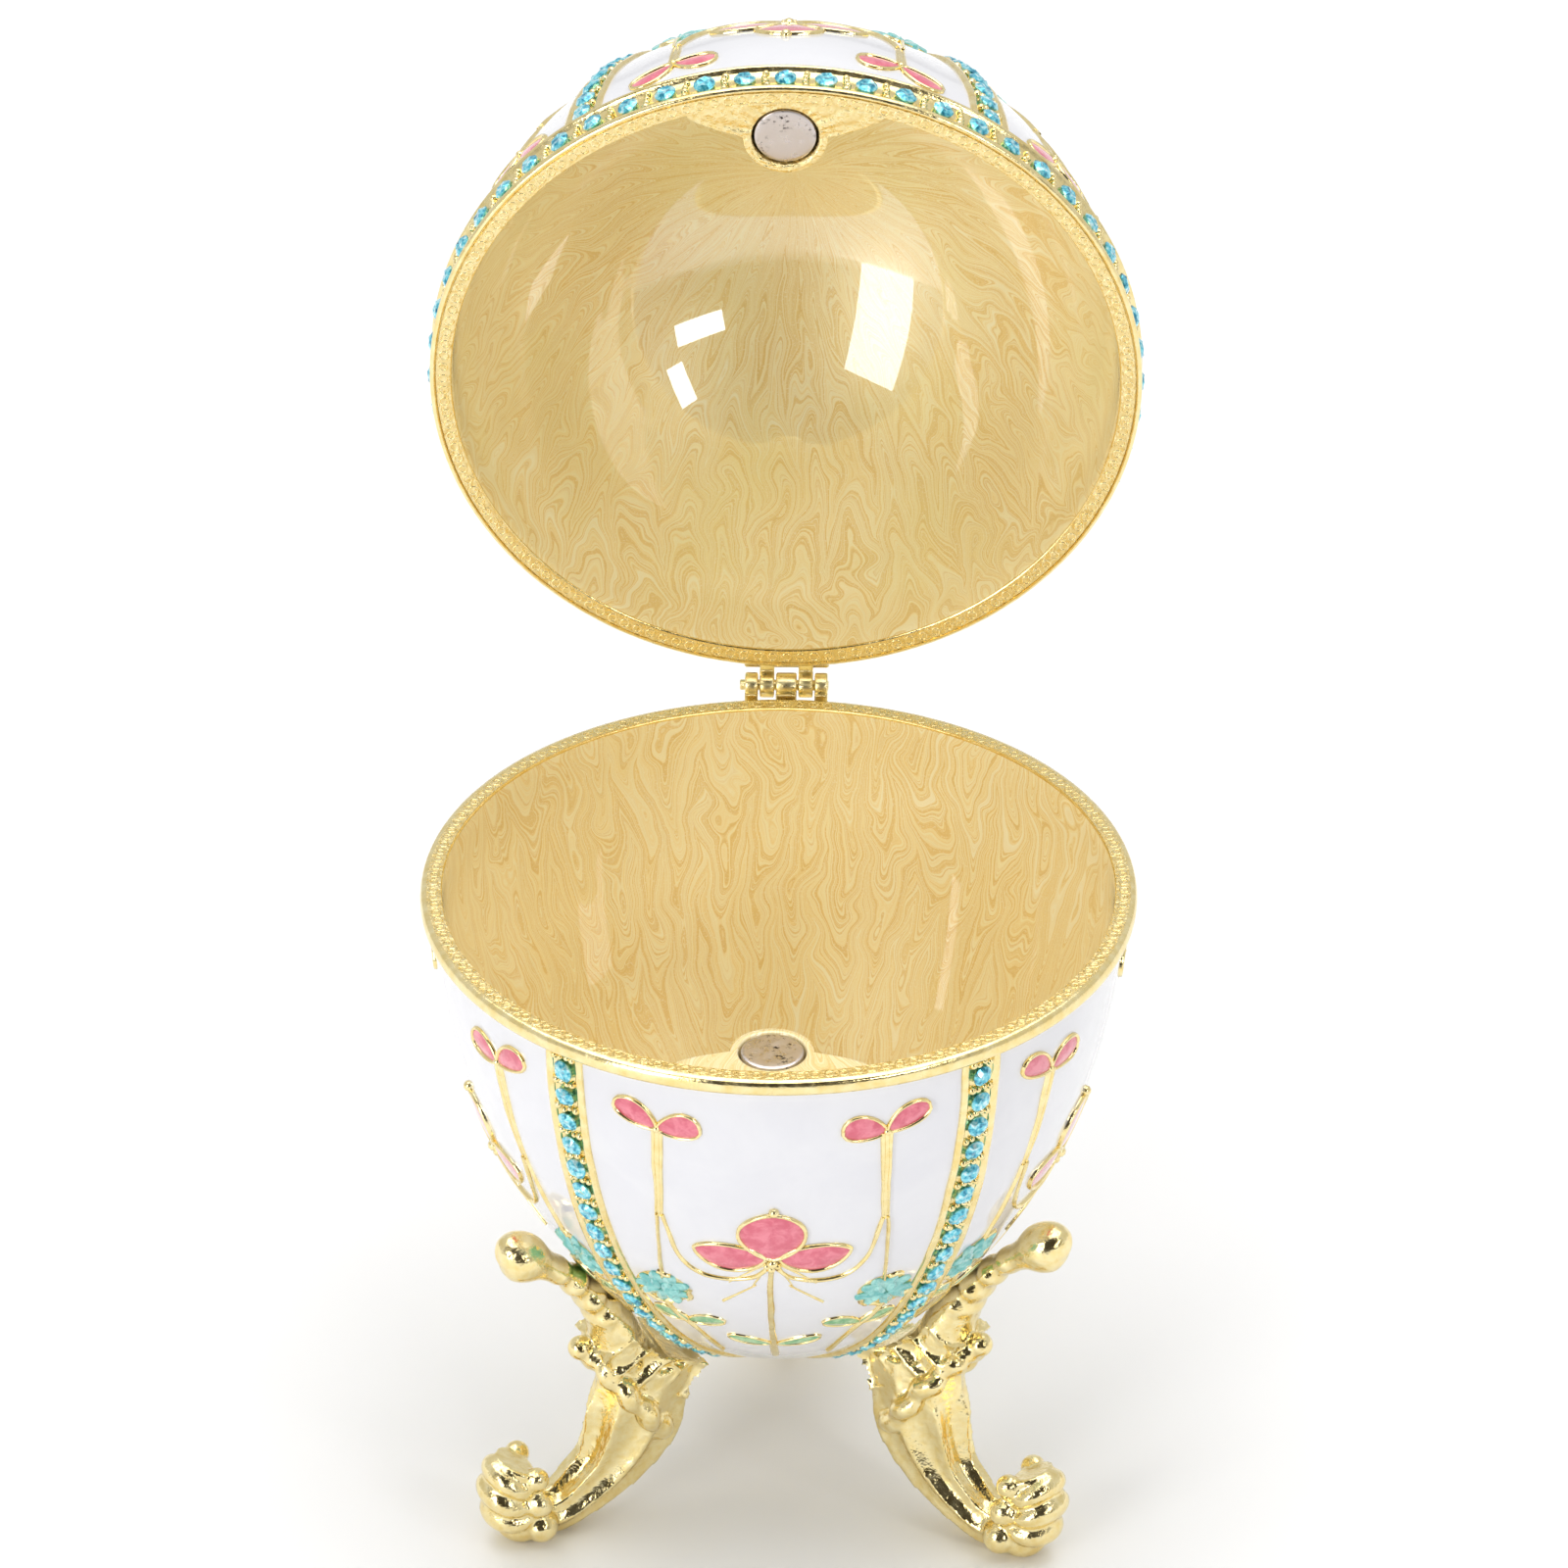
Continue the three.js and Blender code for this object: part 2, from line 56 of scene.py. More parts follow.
# The egg, as the CAD model has it
RIM_RADIUS = 34.5
RIM_FACE_WIDTH = 2.1
PARTING_GAP = 0.15
WALL = 1.7
HINGE_SETBACK = 2.0
PANELS = 5
SECTOR = 2 * math.pi / PANELS
BAND_HALF_WIDTH = 2.15
BAND_RAISE = 0.4
BAND_PITCH = 3.05
MEDALLION_RADIUS = 6.5
RIM_CRYSTALS = 55
RIM_CRYSTAL_DEPTH = 2.2
MAGNET_RADIUS = 3.0
MAGNET_THICKNESS = 1.9
MAGNET_OFFSET = 28.7
MAGNET_FACE = 0.3
UP = np.array([0, 0, 1.0])
KNUCKLE_WIDTHS = (1.45, 1.6, 2.2, 1.6, 1.45)
HINGE_WIDTH = sum(KNUCKLE_WIDTHS)
LEG_AZIMUTHS = {"leg_left": -63.2, "leg_right": 58.6, "leg_back": 177.7}  # degrees from the front
LEG_LEAN = 4.5  # degrees sideways

JOINT = frame["joints"][0]
HINGE = Vector(JOINT["pos_m"])
OPEN_ANGLE = math.radians(JOINT["range_deg"][1])
TO_AXIS = Matrix.Translation((0, -(RIM_RADIUS + HINGE_SETBACK) * MM, 0))
CUP_FRAME = Matrix.Translation(HINGE) @ TO_AXIS @ Matrix.Rotation(math.pi, 4, "Y")
LID_FRAME = Matrix.Translation(HINGE) @ Matrix.Rotation(-OPEN_ANGLE, 4, "X") @ TO_AXIS
AXIS_Y = HINGE.y - (RIM_RADIUS + HINGE_SETBACK) * MM


# Numbers

def smoothstep(low, high, value):
    part = np.clip((value - low) / (high - low), 0, 1)
    return part * part * (3 - 2 * part)


def spline(points, count):
    """Catmull-Rom curve through the points, resampled evenly."""
    points = np.asarray(points, float)
    if len(points) == 2:
        return points[0] + (points[1] - points[0]) * np.linspace(0, 1, count)[:, None]
    ends = np.vstack([2 * points[0] - points[1], points, 2 * points[-1] - points[-2]])
    fine = []
    for a, b, c, d in zip(ends, ends[1:], ends[2:], ends[3:]):
        for t in np.linspace(0, 1, 24, endpoint=False):
            fine.append(0.5 * (2 * b + (c - a) * t + (2 * a - 5 * b + 4 * c - d) * t**2
                               + (3 * b - a - 3 * c + d) * t**3))
    fine = np.array(fine + [points[-1]])
    travelled = np.concatenate([[0], np.cumsum(np.linalg.norm(np.diff(fine, axis=0), axis=1))])
    places = np.linspace(0, travelled[-1], count)
    return np.stack([np.interp(places, travelled, fine[:, k]) for k in range(fine.shape[1])], axis=1)


def wobble(count, size, smoothness=3):
    """Small hand-made unevenness along a row."""
    values = RNG.normal(0, 1, count + 2 * smoothness)
    kernel = np.hanning(2 * smoothness + 3)[1:-1]
    return size * np.convolve(values, kernel / np.linalg.norm(kernel), "valid")[:count]


def compass(angle):
    """Directions outwards from the egg's axis and around it."""
    return np.array([math.sin(angle), -math.cos(angle), 0]), np.array([math.cos(angle), math.sin(angle), 0])


def turned(angle, radius, height):
    """Points at an angle from the front, a radius from the egg's axis and a height."""
    return np.stack(np.broadcast_arrays(radius * np.sin(angle), -radius * np.cos(angle), height), axis=-1)


# The egg's wall

class Wall:
    """Curve of a wall from the rim to the pole, with its arc length and normals."""

    def __init__(self, radius, length, power, roundness):
        self.full_radius, self.length, self.power, self.roundness = radius, length, power, roundness
        turn = np.linspace(0, math.pi / 2, 1200)
        self.depths = length * np.sin(turn)
        self.radii = self.radius(self.depths)
        d_radius, d_depth = np.gradient(self.radii), np.gradient(self.depths)
        size = np.hypot(d_radius, d_depth)
        self.out, self.up = d_depth / size, -d_radius / size
        steps = np.hypot(np.diff(self.radii), np.diff(self.depths))
        self.arcs = np.concatenate([[0], np.cumsum(steps)])

    def radius(self, depth):
        part = np.clip(np.asarray(depth, float) / self.length, 0, 1)
        return self.full_radius * (1 - part**self.power) ** self.roundness

    def arc(self, depth):
        return np.interp(depth, self.depths, self.arcs)

    def depth_at(self, arc):
        return np.interp(arc, self.arcs, self.depths)

    def depth_of_radius(self, radius):
        return np.interp(-radius, -self.radii, self.depths)

    def profile(self, depth, lift=0.0):
        """Radius and height of points lifted off the wall."""
        out = np.interp(depth, self.depths, self.out)
        up = np.interp(depth, self.depths, self.up)
        return self.radius(depth) + lift * out, depth + lift * up

    def point(self, angle, depth, lift=0.0):
        return turned(angle, *self.profile(depth, lift))

    def axes(self, angle, depth):
        """Directions around, towards the pole and outwards at one place."""
        out, up = np.interp(depth, self.depths, self.out), np.interp(depth, self.depths, self.up)
        outward, around = compass(angle)
        return around, np.array([0, 0, out]) - outward * up, outward * out + np.array([0, 0, up])


class Half:
    """One half of the egg: its walls, its frame and the body it rides on."""

    def __init__(self, name, body, matrix, length, power, roundness, first_crystal, rim, pattern_depths):
        self.name, self.body, self.matrix = name, body, matrix
        self.outer = Wall(RIM_RADIUS - 1, length, power, roundness)
        self.inner = Wall(RIM_RADIUS - RIM_FACE_WIDTH, length - WALL, power, roundness)
        self.first_crystal, self.rim, self.pattern_depths = first_crystal, rim, pattern_depths

    def chart(self, centre):
        """Maps the unrolled wall of one panel to space."""
        def place(x, s, lift):
            depth = self.outer.depth_at(s)
            return self.outer.point(centre + x / self.outer.radius(depth), depth, lift)
        return place

    def unrolled(self, points):
        """Turns (x, depth on the cup) into this half's (x, s)."""
        points = np.asarray(points, float).reshape(-1, 2)
        depth = np.interp(points[:, 1], CUP_PATTERN_DEPTHS, self.pattern_depths)
        return np.stack([points[:, 0], self.outer.arc(depth)], axis=1)


def bead_profile(radius, depth, size_r, size_d, from_deg, to_deg, count):
    turn = np.radians(np.linspace(from_deg, to_deg, count))
    return [(radius + size_r * math.cos(t), depth + size_d * math.sin(t)) for t in turn]


# Rim profiles from the wall to the face, as (radius, depth)
CUP_RIM = [(33.3, 1.95), (33.75, 1.9)] + bead_profile(34.0, 0.98, 0.5, 0.84, 85, -55, 12) + [
    (33.95, 0.17), (33.6, 0.15)]
LID_RIM = [(33.0, 4.4), (33.4, 4.35)] + bead_profile(34.05, 3.95, 0.45, 0.32, 110, -50, 8) + [
    (34.1, 3.52), (33.98, 3.35), (33.95, 2.2), (33.98, 1.1), (34.1, 0.95)] + bead_profile(
    34.12, 0.55, 0.38, 0.42, 40, -110, 10) + [(33.93, 0.3), (33.88, 0.3), (33.8, 0.16), (33.6, 0.15)]

# Depths of the sprouts, the trefoil's tip and node, the flowers and the foot of the stem, on each half
CUP_PATTERN_DEPTHS = (0, 7, 16.5, 24, 31, 44.5)
LID_PATTERN_DEPTHS = (0, 9.3, 13.6, 18.5, 23.5, 33)

CUP = Half("cup", "base", CUP_FRAME, 51.7, 1.89, 0.57, 3.7, CUP_RIM, CUP_PATTERN_DEPTHS)
LID = Half("lid", "lid", LID_FRAME, 37.6, 2.05, 0.52, 6.1, LID_RIM, LID_PATTERN_DEPTHS)


# Meshes

def grid_faces(rows, columns, close_rows=False):
    """Faces of a grid whose columns close on themselves, and its rows too if asked."""
    return [[r * columns + c, r * columns + (c + 1) % columns,
             (r + 1) % rows * columns + (c + 1) % columns, (r + 1) % rows * columns + c]
            for r in range(rows if close_rows else rows - 1) for c in range(columns)]


class Batch:
    """Closed shapes gathered into one mesh."""

    def __init__(self):
        self.points, self.faces, self.count = [], [], 0

    def add(self, points, faces):
        points = np.asarray(points, float).reshape(-1, 3)
        start = self.count
        self.faces.extend([[i + start for i in face] for face in faces])
        self.points.append(points)
        self.count += len(points)

    def tube(self, grid):
        """Grid of rows by columns whose columns close on themselves, with both ends capped."""
        rows, columns = grid.shape[:2]
        ends = [list(range(columns))[::-1], [(rows - 1) * columns + c for c in range(columns)]]
        self.add(grid, grid_faces(rows, columns) + ends)

    def ring(self, grid):
        """Grid closed both ways."""
        self.add(grid, grid_faces(*grid.shape[:2], close_rows=True))

    def lathe(self, grid):
        """Grid of turns by profile points, closed round the axis, whose profiles start and end on it."""
        turns, rows = grid.shape[:2]
        faces = [[c * rows + r, c * rows + r + 1, (c + 1) % turns * rows + r + 1, (c + 1) % turns * rows + r]
                 for c in range(turns) for r in range(rows - 1)]
        self.add(grid, faces)

    def take(self, box):
        """Takes over a bmesh and frees it."""
        box.verts.index_update()
        self.add([tuple(v.co) for v in box.verts], [[v.index for v in f.verts] for f in box.faces])
        box.free()

    def slab(self, top, bottom):
        """Two matching open grids joined round their edges."""
        rows, columns = top.shape[:2]
        size = rows * columns
        faces = []
        for r in range(rows - 1):
            for c in range(columns - 1):
                a, b = r * columns + c, (r + 1) * columns + c
                faces.append([a, a + 1, b + 1, b])
                faces.append([size + b, size + b + 1, size + a + 1, size + a])
        edge = [c for c in range(columns)] + [r * columns + columns - 1 for r in range(1, rows)]
        edge += [(rows - 1) * columns + c for c in range(columns - 2, -1, -1)]
        edge += [r * columns for r in range(rows - 2, 0, -1)]
        for a, b in zip(edge, edge[1:] + edge[:1]):
            faces.append([b, a, size + a, size + b])
        self.add(np.concatenate([top.reshape(-1, 3), bottom.reshape(-1, 3)]), faces)

    def stamp(self, template, origin, axes, size=1.0):
        points, faces = template
        self.add(np.asarray(origin) + (points * size) @ np.asarray(axes), faces)


def link_object(name, data):
    linked = bpy.data.objects.new(name, data)
    bpy.context.scene.collection.objects.link(linked)
    return linked


def make_piece(name, batch, matrix, body, slot, material, stands_for=(), sharp_deg=40, flat=False):
    mesh = bpy.data.meshes.new(name)
    mesh.from_pydata((np.concatenate(batch.points) * MM).tolist(), [], batch.faces)
    mesh.transform(matrix)
    tidy = bmesh.new()
    tidy.from_mesh(mesh)
    bmesh.ops.remove_doubles(tidy, verts=tidy.verts, dist=5e-7)
    bmesh.ops.dissolve_degenerate(tidy, edges=tidy.edges, dist=1e-7)
    bmesh.ops.recalc_face_normals(tidy, faces=tidy.faces)
    tidy.to_mesh(mesh)
    tidy.free()
    if flat:
        mesh.shade_flat()
    else:
        mesh.shade_smooth()
        mesh.set_sharp_from_angle(angle=math.radians(sharp_deg))
    piece = link_object(name, mesh)
    mesh.materials.append(material)
    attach(piece, body)
    if stands_for:
        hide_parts(*stands_for)
    return piece


def half_piece(half, part, batch, slot, material, **options):
    return make_piece(f"{half.name}_{part}", batch, half.matrix, half.body, slot, material, **options)


# Templates for what repeats

def gem_template():
    """Round brilliant of radius 1: girdle at z 0, kite facets to a table cut as eight wedges."""
    turn16 = np.radians(np.arange(16) * 22.5)
    turn8 = np.radians(np.arange(8) * 45.0)
    foot = [(0.6 * math.cos(t), 0.6 * math.sin(t), -0.55) for t in turn16]
    low = [(math.cos(t), math.sin(t), -0.05) for t in turn16]
    high = [(math.cos(t), math.sin(t), 0.06) for t in turn16]
    star = [(0.6 * math.cos(t), 0.6 * math.sin(t), 0.40 if i % 2 else 0.33) for i, t in enumerate(turn8)]
    core = [(0.0, 0.0, 0.28)]
    points = np.array(foot + low + high + star + core)
    faces = [list(range(16))[::-1]]
    for i in range(16):
        j = (i + 1) % 16
        faces += [[i, j, 16 + j, 16 + i], [16 + i, 16 + j, 32 + j, 32 + i]]
    for i in range(8):
        a, b = 48 + i, 48 + (i + 1) % 8
        faces += [[32 + 2 * i, 32 + 2 * i + 1, a], [32 + 2 * i + 1, b, a],
                  [32 + 2 * i + 1, 32 + (2 * i + 2) % 16, b], [a, b, 56]]
    return points, faces


def ball_template(rows=5, columns=8):
    points, faces = [(0, 0, 1.0)], []
    for r in range(1, rows):
        tilt = math.pi * r / rows
        for c in range(columns):
            turn = 2 * math.pi * c / columns
            points.append((math.sin(tilt) * math.cos(turn), math.sin(tilt) * math.sin(turn), math.cos(tilt)))
    points.append((0, 0, -1.0))
    last = len(points) - 1
    for c in range(columns):
        d = (c + 1) % columns
        faces.append([0, 1 + c, 1 + d])
        faces.append([last, 1 + (rows - 2) * columns + d, 1 + (rows - 2) * columns + c])
        for r in range(rows - 2):
            a = 1 + r * columns
            faces.append([a + c, a + columns + c, a + columns + d, a + d])
    return np.array(points), faces


def torus_template(tube, around=12, across=6):
    batch = Batch()
    turn = np.linspace(0, 2 * math.pi, around, endpoint=False)[:, None]
    roll = np.linspace(0, 2 * math.pi, across, endpoint=False)[None, :]
    reach = 1 + tube * np.cos(roll)
    ring = np.broadcast_arrays(reach * np.cos(turn), reach * np.sin(turn), tube * np.sin(roll))
    batch.ring(np.stack(ring, -1))
    return batch.points[0], batch.faces


GEM = gem_template()
BALL = ball_template()
STAMPED_RING = torus_template(0.26)


# The outside of each half

ENAMEL_DEPTH = 0.25
ROUND_COLUMNS = 216


def casting(half):
    """The gold shell under the enamel, with its rim and the disc at its pole."""
    outer, inner = half.outer, half.inner
    rim_depth = half.rim[0][1]
    turns = np.linspace(math.pi / 2, math.asin(rim_depth / outer.length), 44)
    edge = outer.depth_of_radius(MEDALLION_RADIUS)
    disc_edge = edge + np.array([-0.02, 0.02, 0.06])
    depths = np.unique(np.concatenate([outer.length * np.sin(turns), disc_edge]))[::-1]
    on_disc = smoothstep(edge - 0.03, edge + 0.06, depths)
    radius, height = outer.profile(depths, -ENAMEL_DEPTH + (BAND_RAISE + 0.12 + ENAMEL_DEPTH) * on_disc)
    profile = [(max(r, 0), h) for r, h in zip(radius, height)] + list(half.rim)
    inner_edge = RIM_RADIUS - RIM_FACE_WIDTH
    profile += [(inner_edge + 0.12, PARTING_GAP), (inner_edge, 0.24), (inner_edge, 0.7),
                (inner_edge + 0.25, 0.9)]
    for turn in np.linspace(0.05, math.pi / 2, 24):
        r, h = inner.profile(inner.length * math.sin(turn), 0.25)
        profile.append((max(float(r), 0), float(h)))
    profile = np.array(profile)
    angle = np.linspace(0, 2 * math.pi, ROUND_COLUMNS, endpoint=False)[:, None]
    radius, height = profile[None, :, 0], profile[None, :, 1]
    petals = on_disc_relief(angle, radius, height, edge)
    batch = Batch()
    batch.lathe(turned(angle, radius, height + petals))
    return batch


def on_disc_relief(angle, radius, height, edge):
    """A low rosette on the disc at the pole, with a ring round it."""
    near = (height > edge - 1) & (radius < MEDALLION_RADIUS)
    petal = np.abs(np.cos(PANELS * angle)) * np.exp(-((radius - 3.2) / 1.5) ** 2) * 0.45
    ring = 0.25 * np.exp(-((radius - 5.6) / 0.35) ** 2)
    return np.where(near, petal + ring, 0)


def enamel_panels(half):
    """Five closed slabs of enamel between the bands."""
    outer = half.outer
    start = half.rim[0][1] - 0.15
    end = outer.depth_of_radius(MEDALLION_RADIUS - 0.15)
    depths = outer.depth_at(np.linspace(outer.arc(start), outer.arc(end), 48))[:, None]
    across = np.linspace(-1, 1, 25)[None, :]
    margin = np.arcsin((BAND_HALF_WIDTH - 0.12) / outer.radius(depths))
    reach = SECTOR / 2 - margin
    from_side = (1 - np.abs(across)) * reach * outer.radius(depths)
    from_end = np.minimum(outer.arc(depths) - outer.arc(start), outer.arc(end) - outer.arc(depths))
    meniscus = 0.1 * np.exp(-np.minimum(from_side, from_end) / 0.35)
    batch = Batch()
    for panel in range(PANELS):
        angle = panel * SECTOR + across * reach
        ripple = 0.012 * (np.sin(9 * angle + panel) + np.sin(0.31 * depths + 2 * panel))
        batch.slab(outer.point(angle, depths, 0.02 + meniscus + ripple), outer.point(angle, depths, -0.32))
    return batch


# The band's section, as (offset from its middle, lift off the wall)
BAND_SIDE = [(2.15, -0.32), (2.15, 0.2), (2.1, 0.36), (1.95, 0.46), (1.72, 0.5), (1.5, 0.45), (1.36, 0.34),
             (1.26, 0.2), (1.0, 0.16)]
BAND_SECTION = [(-offset, lift) for offset, lift in BAND_SIDE] + [(0, 0.15)] + BAND_SIDE[::-1]


def bands(half):
    outer = half.outer
    start = half.rim[0][1] - 0.3
    end = outer.depth_of_radius(MEDALLION_RADIUS - 0.5)
    depths = outer.depth_at(np.linspace(outer.arc(start), outer.arc(end), 84))[:, None]
    section = np.array(BAND_SECTION)
    batch = Batch()
    for panel in range(PANELS):
        uneven = wobble(len(depths), 0.025)[:, None] * np.sign(section[None, :, 0])
        offset = section[None, :, 0] + uneven
        lift = section[None, :, 1] + (section[None, :, 1] > 0.4) * wobble(len(depths), 0.02)[:, None]
        angle = (panel + 0.5) * SECTOR + np.arcsin(np.clip(offset / outer.radius(depths), -1, 1))
        batch.tube(outer.point(angle, depths, lift))
    return batch


UNDER_LEG = (38.5, 50)  # depths on the cup's rear band that the back leg's block hides
STONE_TILT = 0.07
RIM_STONE_RADIUS = 34.28
RIM_GRAIN_RADIUS = 34.05
GRAIN_SPREAD = (0.85, 1.15)


def band_places(half):
    """Angle and depth of each stone on the bands. The legs' block hides the lowest at the back."""
    outer = half.outer
    last = outer.arc(outer.depth_of_radius(MEDALLION_RADIUS + 1.9))
    places = []
    for panel in range(PANELS):
        for arc in np.arange(outer.arc(half.first_crystal), last, BAND_PITCH):
            depth = float(outer.depth_at(arc))
            under_leg = half is CUP and panel == 2 and UNDER_LEG[0] < depth < UNDER_LEG[1]
            if not under_leg:
                places.append(((panel + 0.5) * SECTOR, depth))
    return places


def rim_places():
    """Angle of each stone round the lid's rim, apart from where the hinge leaf lies."""
    places = []
    for index in range(RIM_CRYSTALS):
        angle = 2 * math.pi * index / RIM_CRYSTALS
        x, y = RIM_RADIUS * math.sin(angle), -RIM_RADIUS * math.cos(angle)
        if y < 0 or abs(x) > HINGE_WIDTH / 2 + 1.6:
            places.append(angle)
    return places


def tilted(axes, amount):
    """The axes turned about their normal and tilted a little, as a hand-set stone is."""
    around, poleward, normal = axes
    spin = RNG.uniform(0, math.pi / 4)
    normal = normal + RNG.normal(0, amount) * around + RNG.normal(0, amount) * poleward
    normal /= np.linalg.norm(normal)
    first = np.cos(spin) * around + np.sin(spin) * poleward
    first -= normal * (first @ normal)
    first /= np.linalg.norm(first)
    return np.array([first, np.cross(normal, first), normal])


def crystals(half):
    batch = Batch()
    for angle, depth in band_places(half):
        size = RNG.uniform(1.06, 1.15)
        axes = tilted(half.outer.axes(angle, depth), STONE_TILT)
        batch.stamp(GEM, half.outer.point(angle, depth, 0.48), axes, size)
    if half is LID:
        for angle in rim_places():
            outward, around = compass(angle)
            axes = tilted((around, UP, outward), STONE_TILT)
            centre = outward * RIM_STONE_RADIUS + RIM_CRYSTAL_DEPTH * UP
            batch.stamp(GEM, centre, axes, RNG.uniform(1.06, 1.14))
        centre = half.outer.point(0.0, half.outer.length, BAND_RAISE + 0.5)
        batch.stamp(GEM, centre, np.eye(3), 1.7)
    return batch


def grains(half):
    """Small gold grains that hold the stones, in the gaps between them."""
    batch = Batch()
    outer = half.outer
    last_angle, last_arc = None, 0
    for angle, depth in band_places(half):
        arc = float(outer.arc(depth))
        if angle != last_angle:
            last_angle, last_arc = angle, arc - BAND_PITCH
        middle = (arc + last_arc) / 2 if arc - last_arc < 1.5 * BAND_PITCH else arc - BAND_PITCH / 2
        last_arc = arc
        for side in (-1, 1):
            for reach, size in ((1.0, 0.42), (0.36, 0.36)):
                offset = side * (reach + RNG.normal(0, 0.06))
                place = outer.depth_at(middle + RNG.normal(0, 0.12))
                turn = angle + offset / outer.radius(place)
                axes = outer.axes(turn, place)
                batch.stamp(BALL, outer.point(turn, place, 0.24), axes, size * RNG.uniform(*GRAIN_SPREAD))
    if half is LID:
        for angle in rim_places():
            turn0 = angle - math.pi / RIM_CRYSTALS
            for lift, size in ((-0.95, 0.38), (-0.32, 0.36), (0.32, 0.36), (0.95, 0.38)):
                turn = turn0 + RNG.normal(0, 0.1) / RIM_RADIUS
                outward, around = compass(turn)
                centre = outward * RIM_GRAIN_RADIUS + (RIM_CRYSTAL_DEPTH + lift) * UP
                batch.stamp(BALL, centre, (around, UP, outward), size * RNG.uniform(*GRAIN_SPREAD))
    return batch


# Relief drawn on the unrolled wall: wires, petals, leaves and flowers

FOOT_LIFT = -0.2  # how far relief is sunk into the wall


def wire(batch, place, points, width=0.45, height=0.32, taper=(1.0, 1.0), unevenness=0.03):
    """A raised gold line. taper scales its width at the start and the end."""
    points = np.asarray(points, float)
    length = np.linalg.norm(np.diff(points, axis=0), axis=1).sum()
    count = max(6, int(length / 0.5))
    line = spline(points, count)
    tangent = np.gradient(line, axis=0)
    tangent /= np.linalg.norm(tangent, axis=1)[:, None]
    across = np.stack([-tangent[:, 1], tangent[:, 0]], axis=1)
    line = line + across * wobble(count, unevenness)[:, None]
    scale = np.linspace(taper[0], taper[1], count) * (1 + wobble(count, 0.06))
    roll = np.linspace(0, math.pi, 6)
    offset = np.concatenate([[0.5], 0.5 * np.cos(roll), [-0.5]]) * width
    lift = np.concatenate([[FOOT_LIFT], height * np.sin(roll) + 0.02, [FOOT_LIFT]])
    x = line[:, 0, None] + across[:, 0, None] * offset * scale[:, None]
    s = line[:, 1, None] + across[:, 1, None] * offset * scale[:, None]
    raised = np.where(lift > 0, lift * np.clip(scale, 0.5, 1.2)[:, None], lift)
    batch.tube(place(x, s, raised))


class Petal:
    """Outline of a leaf from its node to its tip. Exponents say how blunt its two ends are."""

    def __init__(self, node, tip, width, blunt=(0.9, 0.5), bend=0.0, count=25):
        node, tip = np.asarray(node, float), np.asarray(tip, float)
        self.along = (1 - np.cos(np.linspace(0, math.pi, count))) / 2
        shape = self.along ** blunt[0] * (1 - self.along) ** blunt[1]
        self.shape = shape / shape.max()
        axis = tip - node
        self.across = np.array([-axis[1], axis[0]]) / np.linalg.norm(axis)
        bow = (bend * np.sin(math.pi * self.along))[:, None]
        self.middle = node + axis * self.along[:, None] + self.across * bow
        self.half_width = width / 2 * self.shape

    def side(self, sign, grow=0.0):
        reach = self.half_width + grow * np.minimum(1, 4 * self.shape)
        return self.middle + sign * self.across * reach[:, None]

    def enamel(self, batch, place, base=0.12, dome=0.16, ridge=0.0):
        row = np.linspace(-1, 1, 9)[None, :]
        reach = np.maximum(self.half_width, 0.004)[:, None]
        x = self.middle[:, 0, None] + self.across[0] * reach * row
        s = self.middle[:, 1, None] + self.across[1] * reach * row
        lift = base + dome * (1 - row**2) * np.sqrt(self.shape)[:, None]
        lift = lift + ridge * np.exp(-((row / 0.2) ** 2)) * self.shape[:, None]
        batch.slab(place(x, s, lift), place(x, s, np.full_like(lift, FOOT_LIFT)))

    def outline(self, batch, place, width=0.38, height=0.34):
        for sign in (-1, 1):
            wire(batch, place, self.side(sign, 0.1)[::2], width, height, unevenness=0.015)


def flower(teal, gold, place, centre, radius=2.5):
    """A round head of small ridged petals, with gold showing at part of its edge."""
    centre = np.asarray(centre, float)
    count = 9
    start = RNG.uniform(0, 1)
    for ring, (reach, base) in enumerate(((1.0, 0.16), (0.62, 0.34))):
        for index in range(count - 2 * ring):
            turn = 2 * math.pi * (index + start + 0.5 * ring) / (count - 2 * ring)
            ray = np.array([math.cos(turn), math.sin(turn)])
            size = radius * reach * RNG.uniform(0.9, 1.08)
            petal = Petal(centre + 0.25 * ray, centre + size * ray, 1.45 * (1 - 0.3 * ring), (0.6, 0.45),
                          RNG.normal(0, 0.12), 10)
            petal.enamel(teal, place, base + RNG.uniform(0, 0.06), 0.16, 0.12)
    lower = RNG.uniform(0.1, 0.5)
    for from_turn, to_turn in ((lower, lower + 1.5), (lower + 2.2, lower + 2.9), (lower + 3.9, lower + 4.4)):
        turns = np.linspace(from_turn, to_turn, 9)
        reach = radius * (0.98 + 0.08 * np.cos(9 * turns))
        arc = centre + np.stack([np.cos(turns), np.sin(turns)], axis=1) * reach[:, None]
        wire(gold, place, arc, 0.55, 0.3)
    x, s = np.meshgrid(np.linspace(-1, 1, 9), np.linspace(-1, 1, 9))
    disc_x = centre[0] + radius * 0.95 * x * np.sqrt(1 - s**2 / 2)
    disc_s = centre[1] + radius * 0.95 * s * np.sqrt(1 - x**2 / 2)
    top, foot = (place(disc_x, disc_s, np.full_like(x, lift)) for lift in (0.1, FOOT_LIFT))
    gold.slab(top, foot)


